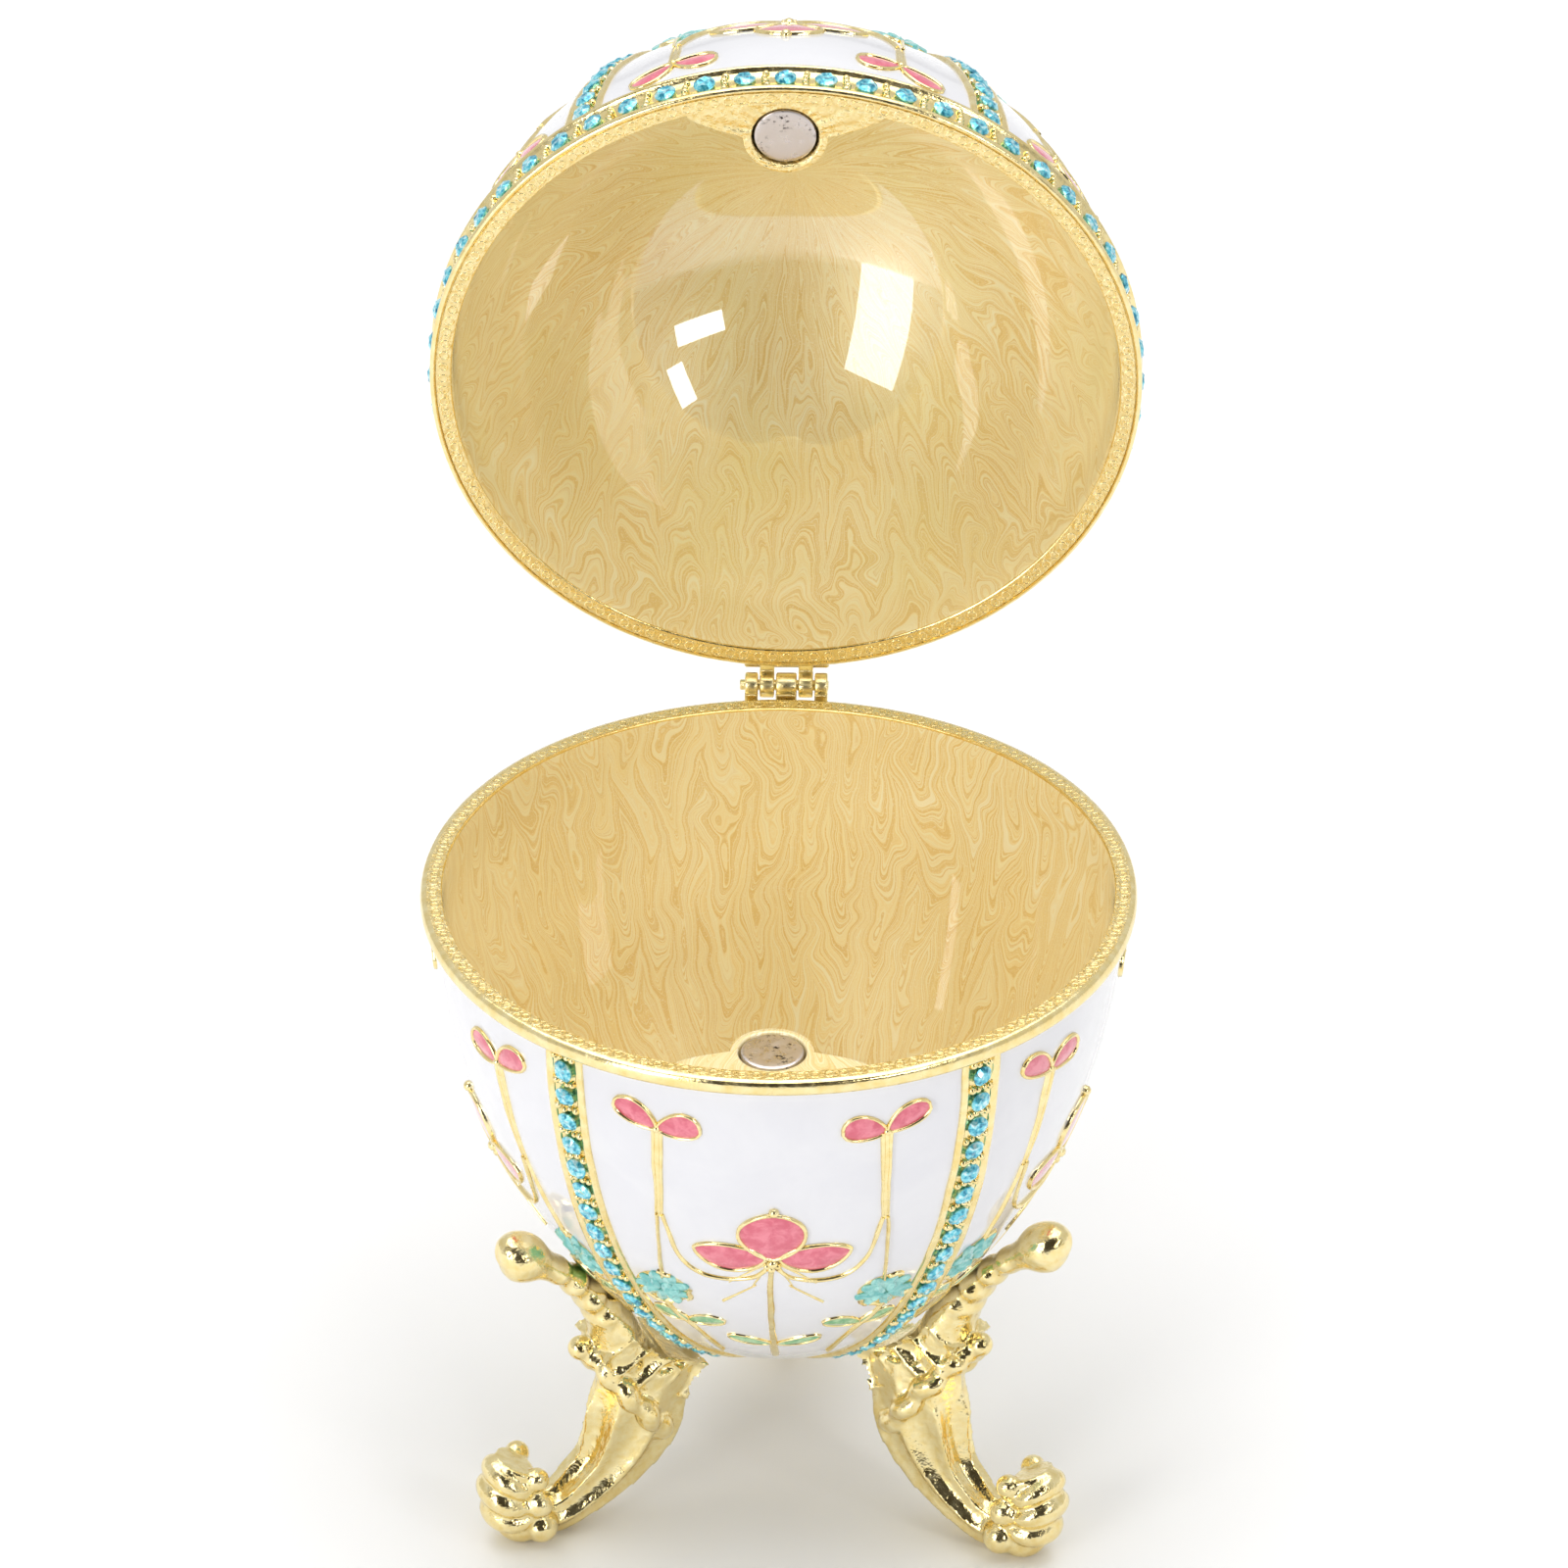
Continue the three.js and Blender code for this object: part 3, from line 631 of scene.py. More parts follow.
def panel_motif(half, centre, gold, pink, teal, green):
    """One panel's sprig pattern, mirrored about the panel's middle."""
    place = half.chart(centre)
    at = half.unrolled

    def line(points, **options):
        wire(gold, place, at(points), **options)

    for side in (-1, 1):
        flip = np.array([side, 1])
        node = at((side * 11.1, 7.5))[0]
        stem = [(11.1, 7.6), (11.1, 11.5), (11.0, 15.5), (11.0, 19.3)]
        offsets = ((-0.42, 0.44, 0.30), (0.42, 0.44, 0.30), (0.0, 0.9, 0.2))
        for offset, width, height in offsets:
            line([((x + offset * (1 - 0.35 * k / 3)) * side, d) for k, (x, d) in enumerate(stem)],
                 width=width, height=height, taper=(1.0, 0.6))
        line(np.array([(11.25, 19.0), (11.2, 22.5), (11.1, 26), (10.9, 29)]) * flip, width=0.38)
        sweep = [(10.7, 19.0), (9.9, 22.2), (8.9, 25.0), (7.0, 26.9), (4.4, 27.4), (1.8, 26.8), (0.5, 25.4)]
        line(np.array(sweep) * flip, width=0.42)
        inner = Petal(node, at((side * 6.8, 6.7))[0], 2.7, (0.75, 0.45), side * 0.25)
        outer = Petal(node, at((side * 15.4, 5.2))[0], 2.4, (0.8, 0.5), -side * 0.2)
        wing = Petal(at((side * 0.7, 24.0))[0], at((side * 7.6, 22.9))[0], 3.9, (0.7, 0.75), side * 0.45)
        for petal in (inner, outer, wing):
            petal.enamel(pink, place)
            petal.outline(gold, place)
        gold.stamp(BALL, place(node[0], node[1], 0.15), half.outer.axes(centre + node[0] / 32, 7), 0.42)
        for points in (((0.6, 24.6), (2.6, 26.4), (4.2, 28.0)), ((0.5, 25.0), (1.5, 27.3), (2.0, 28.6))):
            line(np.array(points) * flip, width=0.34, height=0.24, taper=(1.0, 0.4))
        line(np.array([(1.6, 28.2), (3.0, 29.6), (4.8, 31.4)]) * flip,
             width=0.34, height=0.22, taper=(0.6, 0.9))
        line(np.array([(10.8, 33.2), (9.7, 35.4), (8.3, 37.1), (6.6, 40.0), (5.1, 43.2)]) * flip, width=0.36)
        flower(teal, gold, place, at((side * 11.0, 31.0))[0], 3.0)
        twig = at((side * 8.4, 36.6))[0]
        low = at((side * 4.5, 38.5))[0]
        for start, tip, width in ((twig, at((side * 12.0, 35.0))[0], 2.1),
                                  (twig, at((side * 4.7, 35.5))[0], 2.0),
                                  (at((side * 0.3, 40.0))[0], low, 1.7)):
            leaf = Petal(start, tip, width, (0.7, 0.6), side * 0.2, 17)
            leaf.enamel(green, place, 0.12, 0.12, 0.08)
            leaf.outline(gold, place, 0.22, 0.22)
    top = Petal(at((0, 23.9))[0], at((-0.2, 17.4))[0], 6.3, (0.8, 0.62), 0.15, 31)
    top.enamel(pink, place, 0.12, 0.22)
    top.outline(gold, place, 0.42, 0.36)
    tip = at((-0.2, 17.0))[0]
    gold.stamp(BALL, place(tip[0], tip[1], 0.1), half.outer.axes(centre, 16), 0.55)
    knot = at((0, 24.4))[0]
    for dx, ds, size in ((0, 0, 0.62), (0.5, 0.55, 0.4), (-0.5, 0.5, 0.4), (0.1, 1.0, 0.45)):
        gold.stamp(BALL, place(knot[0] + dx, knot[1] + ds, 0.12), half.outer.axes(centre, 24), size)
    line([(0.1, 24.3), (0.25, 30), (0.15, 36), (0.0, 43.4)], width=0.78, height=0.26, taper=(0.7, 1.0))


# The inside

LOBE_RADIUS = 4.05
LOBE_STRAIGHT = 88.0  # the lobe stays round this far from the egg's axis, in degrees
LOBE_END = 107.0
ROOT_RADIUS = RIM_RADIUS - RIM_FACE_WIDTH


def reach_to_circle(turn, radius):
    """Distance from the magnet's middle to a circle round the egg's axis. turn 0 points at the axis."""
    along = -MAGNET_OFFSET * np.cos(turn)
    return -along + np.sqrt(along**2 + radius**2 - MAGNET_OFFSET**2)


def lobe_reach(turn, circle):
    degrees = np.abs(np.degrees(turn))
    blend = smoothstep(LOBE_STRAIGHT, LOBE_END, degrees) ** 1.5
    wide = reach_to_circle(turn, circle)
    return LOBE_RADIUS * (1 - blend) + wide * blend


def opening_outline():
    """Outline of the opening round the lobe, with the angle where each point's meridian ends."""
    turn = np.radians(np.linspace(-LOBE_END, LOBE_END, 65))
    reach = lobe_reach(turn, ROOT_RADIUS)
    lobe = np.stack([reach * np.sin(turn), -MAGNET_OFFSET + reach * np.cos(turn)], axis=1)
    edge = math.atan2(lobe[-1, 0], -lobe[-1, 1])
    steps = np.concatenate([[0], np.cumsum(np.linalg.norm(np.diff(lobe, axis=0), axis=1))])
    ends = -edge + 2 * edge * steps / steps[-1]
    angle = np.linspace(edge, 2 * math.pi - edge, 190)[1:-1]
    circle = ROOT_RADIUS * np.stack([np.sin(angle), -np.cos(angle)], axis=1)
    return np.vstack([lobe, circle]), np.concatenate([ends, angle])


def lining(half):
    """Enamel over the inside wall and down the boss, closed behind."""
    outline, ends = opening_outline()
    inner = half.inner
    turns = np.concatenate([np.linspace(0.012, 0.3, 22), np.linspace(0.3, math.pi / 2, 40)[1:]])
    depths = inner.length * np.sin(turns)
    layers = []
    for lift, first in ((-0.1, 0.42), (0.2, 0.55)):
        grid = []
        for depth in np.concatenate([[first], depths[depths > 0.6]]):
            radius, height = inner.profile(depth, lift)
            wall = np.stack([radius * np.sin(ends), -radius * np.cos(ends)], axis=1)
            fade = float(smoothstep(1.6, 10.5, depth))
            shrink = (ROOT_RADIUS + lift) / ROOT_RADIUS
            plan = outline * shrink * (1 - fade) + wall * fade
            grid.append(np.column_stack([plan, np.full(len(plan), height)]))
        layers.append(np.array(grid))
    front, back = layers
    front[0, :, :2] *= 1.0025
    rows, columns = front.shape[:2]
    batch = Batch()
    batch.add(np.concatenate([front[::-1], back]), grid_faces(2 * rows, columns))
    return batch


def lobe(top, rounding, roughness):
    """The face round the magnet, from its hole out to the rim and the lobe's edge."""
    turn = np.linspace(-math.pi, math.pi, 160, endpoint=False)
    circle = ROOT_RADIUS + 0.42
    inside = np.abs(np.degrees(turn)) < LOBE_END
    reach = np.where(inside, lobe_reach(turn, circle), reach_to_circle(turn, circle))
    hole = MAGNET_RADIUS + 0.22
    marks = wobble(len(turn), roughness, 1)
    grid = []
    for index, angle in enumerate(turn):
        end = reach[index] + 0.06
        section = [(hole, 2.3), (hole, top + 0.22), (hole + 0.1, top + 0.06)]
        for part in np.linspace(0, 1, 6):
            fall = roughness * math.sin(7 * part + 3 * angle) * 0.5
            section.append((hole + 0.2 + (end - rounding - hole - 0.2) * part,
                            top + fall + marks[index] * (1 - part)))
        for roll in np.radians((25, 50, 75)):
            section.append((end - rounding * (1 - math.sin(roll)), top + rounding * (1 - math.cos(roll))))
        section += [(end, top + rounding + 0.3), (end - 0.05, 1.9), (hole + 0.3, 2.4)]
        ray = np.array([math.sin(angle), math.cos(angle)])
        grid.append([(*(ray * r + (0, -MAGNET_OFFSET)), z) for r, z in section])
    batch = Batch()
    batch.ring(np.array(grid))
    return batch


def magnet_disc():
    turn = np.linspace(0, 2 * math.pi, 72, endpoint=False)[:, None]
    face, back = MAGNET_FACE, MAGNET_FACE + MAGNET_THICKNESS
    rim = MAGNET_RADIUS
    section = [(0, back), (rim - 0.12, back), (rim, back - 0.12), (rim, face + 0.22),
               (rim - 0.05, face + 0.09), (rim - 0.18, face + 0.02), (rim - 0.4, face),
               (1.5, face), (0, face)]
    radius, height = np.array(section).T
    batch = Batch()
    batch.lathe(turned(turn, radius, height) - (0, MAGNET_OFFSET, 0))
    return batch


def rim_face():
    """The struck band of the rim's face, under its rings."""
    angle = np.linspace(0, 2 * math.pi, ROUND_COLUMNS, endpoint=False)[:, None]
    radius, height = np.array([(32.5, 0.12), (33.86, 0.12), (33.9, 0.2), (33.86, 0.34), (32.5, 0.34)]).T
    batch = Batch()
    batch.ring(turned(angle, radius, height))
    return batch


def rim_rings():
    """Small rings stamped side by side round the rim's face."""
    batch = Batch()
    middle = 33.22
    pitch = 1.37
    count = round(2 * math.pi * middle / pitch)
    for index in range(count):
        outward, around = compass(2 * math.pi * index / count)
        centre = outward * middle + PARTING_GAP * UP
        axes = np.array([around, -outward, 0.75 * UP])
        batch.stamp(STAMPED_RING, centre, axes * RNG.uniform(0.92, 1.06), 0.43)
    return batch


# The hinge, around its axis: x along the pin, y to the back, z up with the lid closed

KNUCKLE_RADIUS = 1.25
LEAF_FRONT = -1.7
LEAF_BACK = -0.9
LEAF_DROP = 2.6


def along_pin(turn, x, radius):
    return np.stack([np.full_like(turn, x), radius * np.cos(turn), radius * np.sin(turn)], -1)


def hinge_leaf(first, side):
    """Knuckles first, first + 2, ... and their leaf. side is -1 for down, +1 for up."""
    batch = Batch()
    edge = -HINGE_WIDTH / 2
    turn = np.linspace(0, 2 * math.pi, 48, endpoint=False)
    for index, width in enumerate(KNUCKLE_WIDTHS):
        low, high = edge + 0.09, edge + width - 0.09
        edge += width
        if index % 2 != first:
            continue
        rings = []
        for x, radius in ((low, 0.62), (low, 1.12), (low + 0.05, 1.2), (low + 0.14, KNUCKLE_RADIUS),
                          (high - 0.14, KNUCKLE_RADIUS), (high - 0.05, 1.2), (high, 1.12), (high, 0.62)):
            seam = 1 - 0.06 * np.exp(-((turn - 1.25 * math.pi) / 0.1) ** 2) * (radius > 1)
            rings.append(along_pin(turn, x, radius * seam))
        batch.ring(np.array(rings))
        add_plate(batch, low, high, side * 0.1, side * LEAF_DROP)
    add_plate(batch, -HINGE_WIDTH / 2, HINGE_WIDTH / 2, side * 1.6, side * LEAF_DROP)
    return batch


def add_plate(batch, left, right, low, high, bevel=0.12):
    """A leaf plate with rounded edges."""
    low, high = min(low, high), max(low, high)
    centre = np.array([(left + right) / 2, (LEAF_FRONT + LEAF_BACK) / 2, (low + high) / 2])
    half_size = np.array([right - left, LEAF_BACK - LEAF_FRONT, high - low]) / 2
    box = bmesh.new()
    bmesh.ops.create_cube(box, size=2)
    for vertex in box.verts:
        vertex.co = Vector(centre) + Vector([a * b for a, b in zip(vertex.co, half_size)])
    bmesh.ops.bevel(box, geom=box.edges[:], offset=bevel, segments=3, affect="EDGES")
    batch.take(box)


def hinge_pin():
    batch = Batch()
    turn = np.linspace(0, 2 * math.pi, 32, endpoint=False)
    start, end = -HINGE_WIDTH / 2 - 0.43, HINGE_WIDTH / 2
    section = [(start, 0.02), (start, 0.4), (start + 0.06, 0.5), (start + 0.14, 0.53), (end - 0.1, 0.53),
               (end, 0.45), (end, 0.02)]
    batch.tube(np.array([along_pin(turn, x, radius) for x, radius in section]))
    return batch


# The legs, in their own plane: x outwards from the egg's axis, y across, z up

# Stations of a swept limb: x, z, half thickness in the plane, half width across it, flute depth
ARM = [(31.3, 35.3, 0.9, 0.9, 0), (30.6, 35.3, 1.9, 1.9, 0), (29.5, 35.0, 2.45, 2.5, 0),
       (28.1, 34.2, 2.4, 2.4, 0), (26.4, 33.0, 1.5, 1.8, 0), (24.4, 31.4, 1.3, 1.8, 0),
       (22.6, 29.4, 1.4, 2.1, 0), (20.9, 27.2, 1.7, 2.6, 0), (19.4, 24.6, 2.2, 3.2, 0),
       (18.4, 21.8, 2.6, 3.5, 0), (17.8, 18.8, 2.6, 3.2, 0)]
SHANK = [(15.0, 18.6, 5.2, 3.8, 0), (15.4, 15.4, 4.8, 3.8, 0.1), (16.0, 12.0, 4.9, 3.7, 0.26),
         (17.2, 8.9, 4.3, 3.3, 0.28), (19.0, 6.2, 3.4, 2.9, 0.28), (21.2, 4.3, 2.8, 2.7, 0.28),
         (23.6, 2.7, 2.4, 2.5, 0.24), (26.0, 2.2, 2.4, 2.5, 0.05), (28.4, 2.7, 2.8, 3.0, 0),
         (29.7, 5.0, 2.9, 3.3, 0), (29.5, 7.8, 2.9, 3.2, 0), (28.9, 9.4, 2.1, 2.5, 0)]
CURL_START = 0.69
CURL_RIBS = 4.5
COLLAR = {"x": 17.1, "z": 14.9, "half_length": 6.4, "half_width": 4.0, "rope": 1.05, "tilt": 54}


def limb(batch, stations, sides, segments, flutes=6, ribbed=False, ripples=0.0):
    along = np.linspace(0, 1, segments)
    travelled = np.linspace(0, 1, 400)
    station_curve = spline(stations, 400)
    x, z, thick, wide, flute = (np.interp(along, travelled, station_curve[:, k]) for k in range(5))
    tangent = np.stack([np.gradient(x), np.gradient(z)], axis=1)
    tangent /= np.linalg.norm(tangent, axis=1)[:, None]
    turn = np.linspace(0, 2 * math.pi, sides, endpoint=False)[None, :]
    ridge = 1 - flute[:, None] * np.abs(np.sin(flutes * turn / 2)) ** 0.8 + 0.5 * flute[:, None]
    swell = np.ones_like(ridge)
    if ribbed:
        phase = np.clip((along - CURL_START) / (1 - CURL_START), 0, 1)[:, None]
        slant = phase * CURL_RIBS + 0.4 * np.cos(turn)
        depth = 0.3 * smoothstep(0.0, 0.12, phase)
        swell = 1 - depth * (1 - np.abs(np.sin(math.pi * slant)) ** 0.6)
    if ripples:
        wave = smoothstep(0.3, 0.42, along) * (1 - smoothstep(0.6, 0.75, along))
        swell = swell * (1 + ripples * (wave * np.sin(along * 58))[:, None])
    in_plane = np.cos(turn) * thick[:, None] * ridge * swell
    sideways = np.sin(turn) * wide[:, None] * ridge * swell
    outwards = x[:, None] - tangent[:, 1, None] * in_plane
    upwards = z[:, None] + tangent[:, 0, None] * in_plane
    batch.tube(np.stack([outwards, sideways, upwards], -1))


def collar(batch):
    """Twisted rope round the top of the shank."""
    turn = np.linspace(0, 2 * math.pi, 160, endpoint=False)[:, None]
    roll = np.linspace(0, 2 * math.pi, 20, endpoint=False)[None, :]
    rope = COLLAR["rope"] * (0.78 + 0.5 * np.abs(np.cos(5.5 * turn + 0.6 * np.sin(roll))) ** 1.4)
    reach = rope * np.cos(roll)
    x = np.cos(turn) * (COLLAR["half_length"] + reach)
    y = np.sin(turn) * (COLLAR["half_width"] + reach)
    z = rope * np.sin(roll) + 0 * turn
    tilt = math.radians(COLLAR["tilt"])
    batch.ring(np.stack([COLLAR["x"] + x * math.cos(tilt) - z * math.sin(tilt), y,
                         COLLAR["z"] + x * math.sin(tilt) + z * math.cos(tilt)], -1))


def knob(batch, x, y, z, radius, stretch=(1, 1, 1)):
    points, faces = ball_template(14, 20)
    batch.add(points * radius * np.array(stretch) + np.array([x, y, z]), faces)


def dished_block(batch, centre, size, tilt, dish=0.22):
    """Block turned by tilt degrees in the leg's plane, its faces dished and its edges left standing."""
    box = bmesh.new()
    bmesh.ops.create_cube(box, size=2)
    bmesh.ops.subdivide_edges(box, edges=box.edges[:], cuts=9, use_grid_fill=True)
    half_size = np.array(size) / 2
    level, rise = math.cos(math.radians(tilt)), math.sin(math.radians(tilt))
    for vertex in box.verts:
        u = np.array(vertex.co)
        depth = np.ones(3)
        for axis in range(3):
            others = [k for k in range(3) if k != axis]
            if abs(abs(u[axis]) - 1) < 1e-6:
                depth[axis] = 1 - dish * (1 - u[others[0]] ** 4) * (1 - u[others[1]] ** 4)
        x, y, z = u * depth * half_size
        vertex.co = (centre[0] + x * level - z * rise, y, centre[1] + x * rise + z * level)
    batch.take(box)


# Cells of the shell between the collar and the egg: middle (x, z), size (long, wide, high), tilt, dish.
# The first is the squared end under the egg.
SHELL_CELLS = [((13.2, 17.3), (5.4, 7.0, 4.4), 28, 0.3), ((15.6, 17.6), (2.4, 7.8, 5.4), 52, 0.24),
               ((17.4, 19.6), (2.4, 7.6, 5.2), 54, 0.24), ((19.0, 21.6), (2.3, 7.2, 4.2), 58, 0.22)]

# Knobs of the leg: x, y, z, radius and stretch
KNOBS = [(22.2, 0, 21.4, 1.25, (1, 1, 1)), (21.2, 0, 20.4, 1.2, (1, 1.6, 1)),
         (13.5, 0, 11.3, 2.0, (0.9, 1.35, 0.9))]
KNOBS += [(x, side * y, z, radius, (1, 1, 1)) for side in (-1, 1)
          for x, y, z, radius in ((26.9, 2.2, 2.3, 1.7), (27.3, 2.5, 5.4, 1.45), (27.6, 2.3, 8.3, 1.25))]


def leg_batch():
    batch = Batch()
    limb(batch, ARM, 40, 90, ripples=0.12)
    limb(batch, SHANK, 96, 150, flutes=8, ribbed=True)
    collar(batch)
    for centre, size, tilt, dish in SHELL_CELLS:
        dished_block(batch, centre, size, tilt, dish)
    for x, y, z, radius, stretch in KNOBS:
        knob(batch, x, y, z, radius, stretch)
    return batch


VOXEL = 0.23


def remeshed(batch):
    """One skin over overlapping shapes, lightly smoothed."""
    mesh = bpy.data.meshes.new("cast")
    mesh.from_pydata((np.concatenate(batch.points) * MM).tolist(), [], batch.faces)
    raw = link_object("cast", mesh)
    remesh = raw.modifiers.new("skin", "REMESH")
    remesh.mode = "VOXEL"
    remesh.voxel_size = VOXEL * MM * 1
    smooth = raw.modifiers.new("smooth", "SMOOTH")
    smooth.factor, smooth.iterations = 0.5, 2
    skin = bpy.data.meshes.new_from_object(raw.evaluated_get(bpy.context.evaluated_depsgraph_get()))
    bpy.data.objects.remove(raw)
    bpy.data.meshes.remove(mesh)
    points = np.zeros(len(skin.vertices) * 3)
    skin.vertices.foreach_get("co", points)
    faces = [list(p.vertices) for p in skin.polygons]
    bpy.data.meshes.remove(skin)
    return points.reshape(-1, 3) / MM, faces


def leg_piece(node, azimuth, skin, material):
    """A leg turned to its azimuth, with what lies inside the egg drawn back to its wall."""
    points, faces = skin
    outward, across = compass(math.radians(azimuth))
    lean = math.radians(LEG_LEAN)
    sideways = points[:, 1:2] * math.cos(lean) + points[:, 2:] * math.sin(lean)
    upward = points[:, 2:] * math.cos(lean) - points[:, 1:2] * math.sin(lean)
    placed = points[:, :1] * outward + sideways * across + upward * UP
    rim_height = HINGE.z / MM
    radius, depth = np.hypot(placed[:, 0], placed[:, 1]), rim_height - placed[:, 2]
    wall = CUP.outer
    sink_r, sink_d = wall.profile(wall.depths, -0.12)
    wall_radius = np.interp(depth, sink_d, sink_r, right=0.0)
    inside = np.flatnonzero((radius < wall_radius) & (depth > 0) & (depth < wall.length))
    for start in range(0, len(inside), 400):
        chosen = inside[start:start + 400]
        gap = (radius[chosen, None] - sink_r[None, ::4]) ** 2 + (depth[chosen, None] - sink_d[None, ::4]) ** 2
        nearest = gap.argmin(axis=1) * 4
        scale = sink_r[nearest] / np.maximum(radius[chosen], 1e-6)
        placed[chosen, 0] *= scale
        placed[chosen, 1] *= scale
        placed[chosen, 2] = rim_height - sink_d[nearest]
    placed[:, 2] = np.maximum(placed[:, 2], 0)
    batch = Batch()
    batch.add(placed, faces)
    matrix = Matrix.Translation((0, AXIS_Y, 0))
    return make_piece(f"{node}_cast", batch, matrix, "base", "gold_plate", material, stands_for=(node,),
                      sharp_deg=80)


# Materials

class Finish:
    """A Principled material with a few nodes in front of it."""

    def __init__(self, name, color, metallic, roughness, **extra):
        self.material = bpy.data.materials.new(name)
        self.material.use_nodes = True
        self.nodes, self.links = self.material.node_tree.nodes, self.material.node_tree.links
        self.shader = self.nodes["Principled BSDF"]
        self.set("Base Color", (*color, 1))
        self.set("Metallic", metallic)
        self.set("Roughness", roughness)
        for socket, value in extra.items():
            self.set(socket.replace("_", " "), value)
        self.place = self.add("ShaderNodeTexCoord").outputs["Object"]
        self.height = None

    def set(self, socket, value):
        self.shader.inputs[socket].default_value = value

    def add(self, kind, **settings):
        node = self.nodes.new(kind)
        for key, value in settings.items():
            setattr(node, key, value)
        return node

    def plug(self, source, target):
        if isinstance(source, (int, float)):
            target.default_value = source
        else:
            self.links.new(source, target)

    def math(self, operation, a, b=0.0, c=0.0):
        node = self.add("ShaderNodeMath", operation=operation)
        for socket, value in zip(node.inputs, (a, b, c)):
            self.plug(value, socket)
        return node.outputs[0]

    def noise(self, size_mm, detail=3.0, rough=0.55, distortion=0.0, vector=None):
        node = self.add("ShaderNodeTexNoise")
        node.inputs["Scale"].default_value = 1 / (size_mm * MM) if vector is None else 1 / size_mm
        node.inputs["Detail"].default_value = detail
        node.inputs["Roughness"].default_value = rough
        node.inputs["Distortion"].default_value = distortion
        self.links.new(self.place if vector is None else vector, node.inputs["Vector"])
        return node.outputs["Fac"]

    def remap(self, value, low, high, to_low, to_high):
        node = self.add("ShaderNodeMapRange")
        for socket, number in zip(node.inputs, (value, low, high, to_low, to_high)):
            self.plug(number, socket)
        return node.outputs[0]

    def ramp(self, value, painted_facet_light_stops, smooth=False):
        node = self.add("ShaderNodeValToRGB")
        node.color_ramp.interpolation = "EASE" if smooth else "LINEAR"
        while len(node.color_ramp.elements) < len(painted_facet_light_stops):
            node.color_ramp.elements.new(0.5)
        for element, (position, color) in zip(node.color_ramp.elements, painted_facet_light_stops):
            element.position, element.color = position, (*color, 1)
        self.links.new(value, node.inputs[0])
        return node.outputs["Color"]

    def mix(self, factor, a, b, blend="MIX"):
        node = self.add("ShaderNodeMix", data_type="RGBA", blend_type=blend)
        self.plug(factor, node.inputs["Factor"])
        first, second = [s for s in node.inputs if s.type == "RGBA"]
        for value, socket in ((a, first), (b, second)):
            if isinstance(value, tuple):
                socket.default_value = (*value, 1)
            else:
                self.links.new(value, socket)
        return [s for s in node.outputs if s.type == "RGBA"][0]

    def bump(self, value, distance_mm, strength=1.0):
        node = self.add("ShaderNodeBump")
        node.inputs["Strength"].default_value = strength
        node.inputs["Distance"].default_value = distance_mm * MM
        self.links.new(value, node.inputs["Height"])
        if self.height is not None:
            self.links.new(self.height, node.inputs["Normal"])
        self.height = node.outputs["Normal"]
        self.links.new(self.height, self.shader.inputs["Normal"])

    def color(self, source):
        self.links.new(source, self.shader.inputs["Base Color"])

    def roughness(self, source):
        self.links.new(source, self.shader.inputs["Roughness"])


def srgb(r, g, b):
    return tuple(c / 255 / 12.92 if c <= 10 else ((c / 255 + 0.055) / 1.055) ** 2.4 for c in (r, g, b))


def gold_finish(name, cast_mm, cast_depth, fine_depth, roughness=(0.12, 0.3)):
    finish = Finish(name, srgb(246, 226, 164), 1.0, roughness[0])
    broad = finish.noise(cast_mm, 3.0)
    finish.color(finish.ramp(broad, [(0.3, srgb(240, 216, 146)), (0.7, srgb(251, 236, 184))]))
    finish.roughness(finish.remap(finish.noise(0.9, 4.0), 0.35, 0.7, *roughness))
    finish.bump(broad, cast_depth)
    finish.bump(finish.noise(0.28, 2.0), fine_depth)
    return finish.material


def enamel_finish(name, light, dark, patch_mm=2.2, roughness=0.1):
    finish = Finish(name, light, 0.0, roughness, Coat_Weight=1.0, Coat_Roughness=0.03)
    finish.color(finish.ramp(finish.noise(patch_mm, 4.0, 0.6, 0.4), [(0.35, dark), (0.65, light)], True))
    finish.bump(finish.noise(2.5, 2.0), 0.03)
    return finish.material


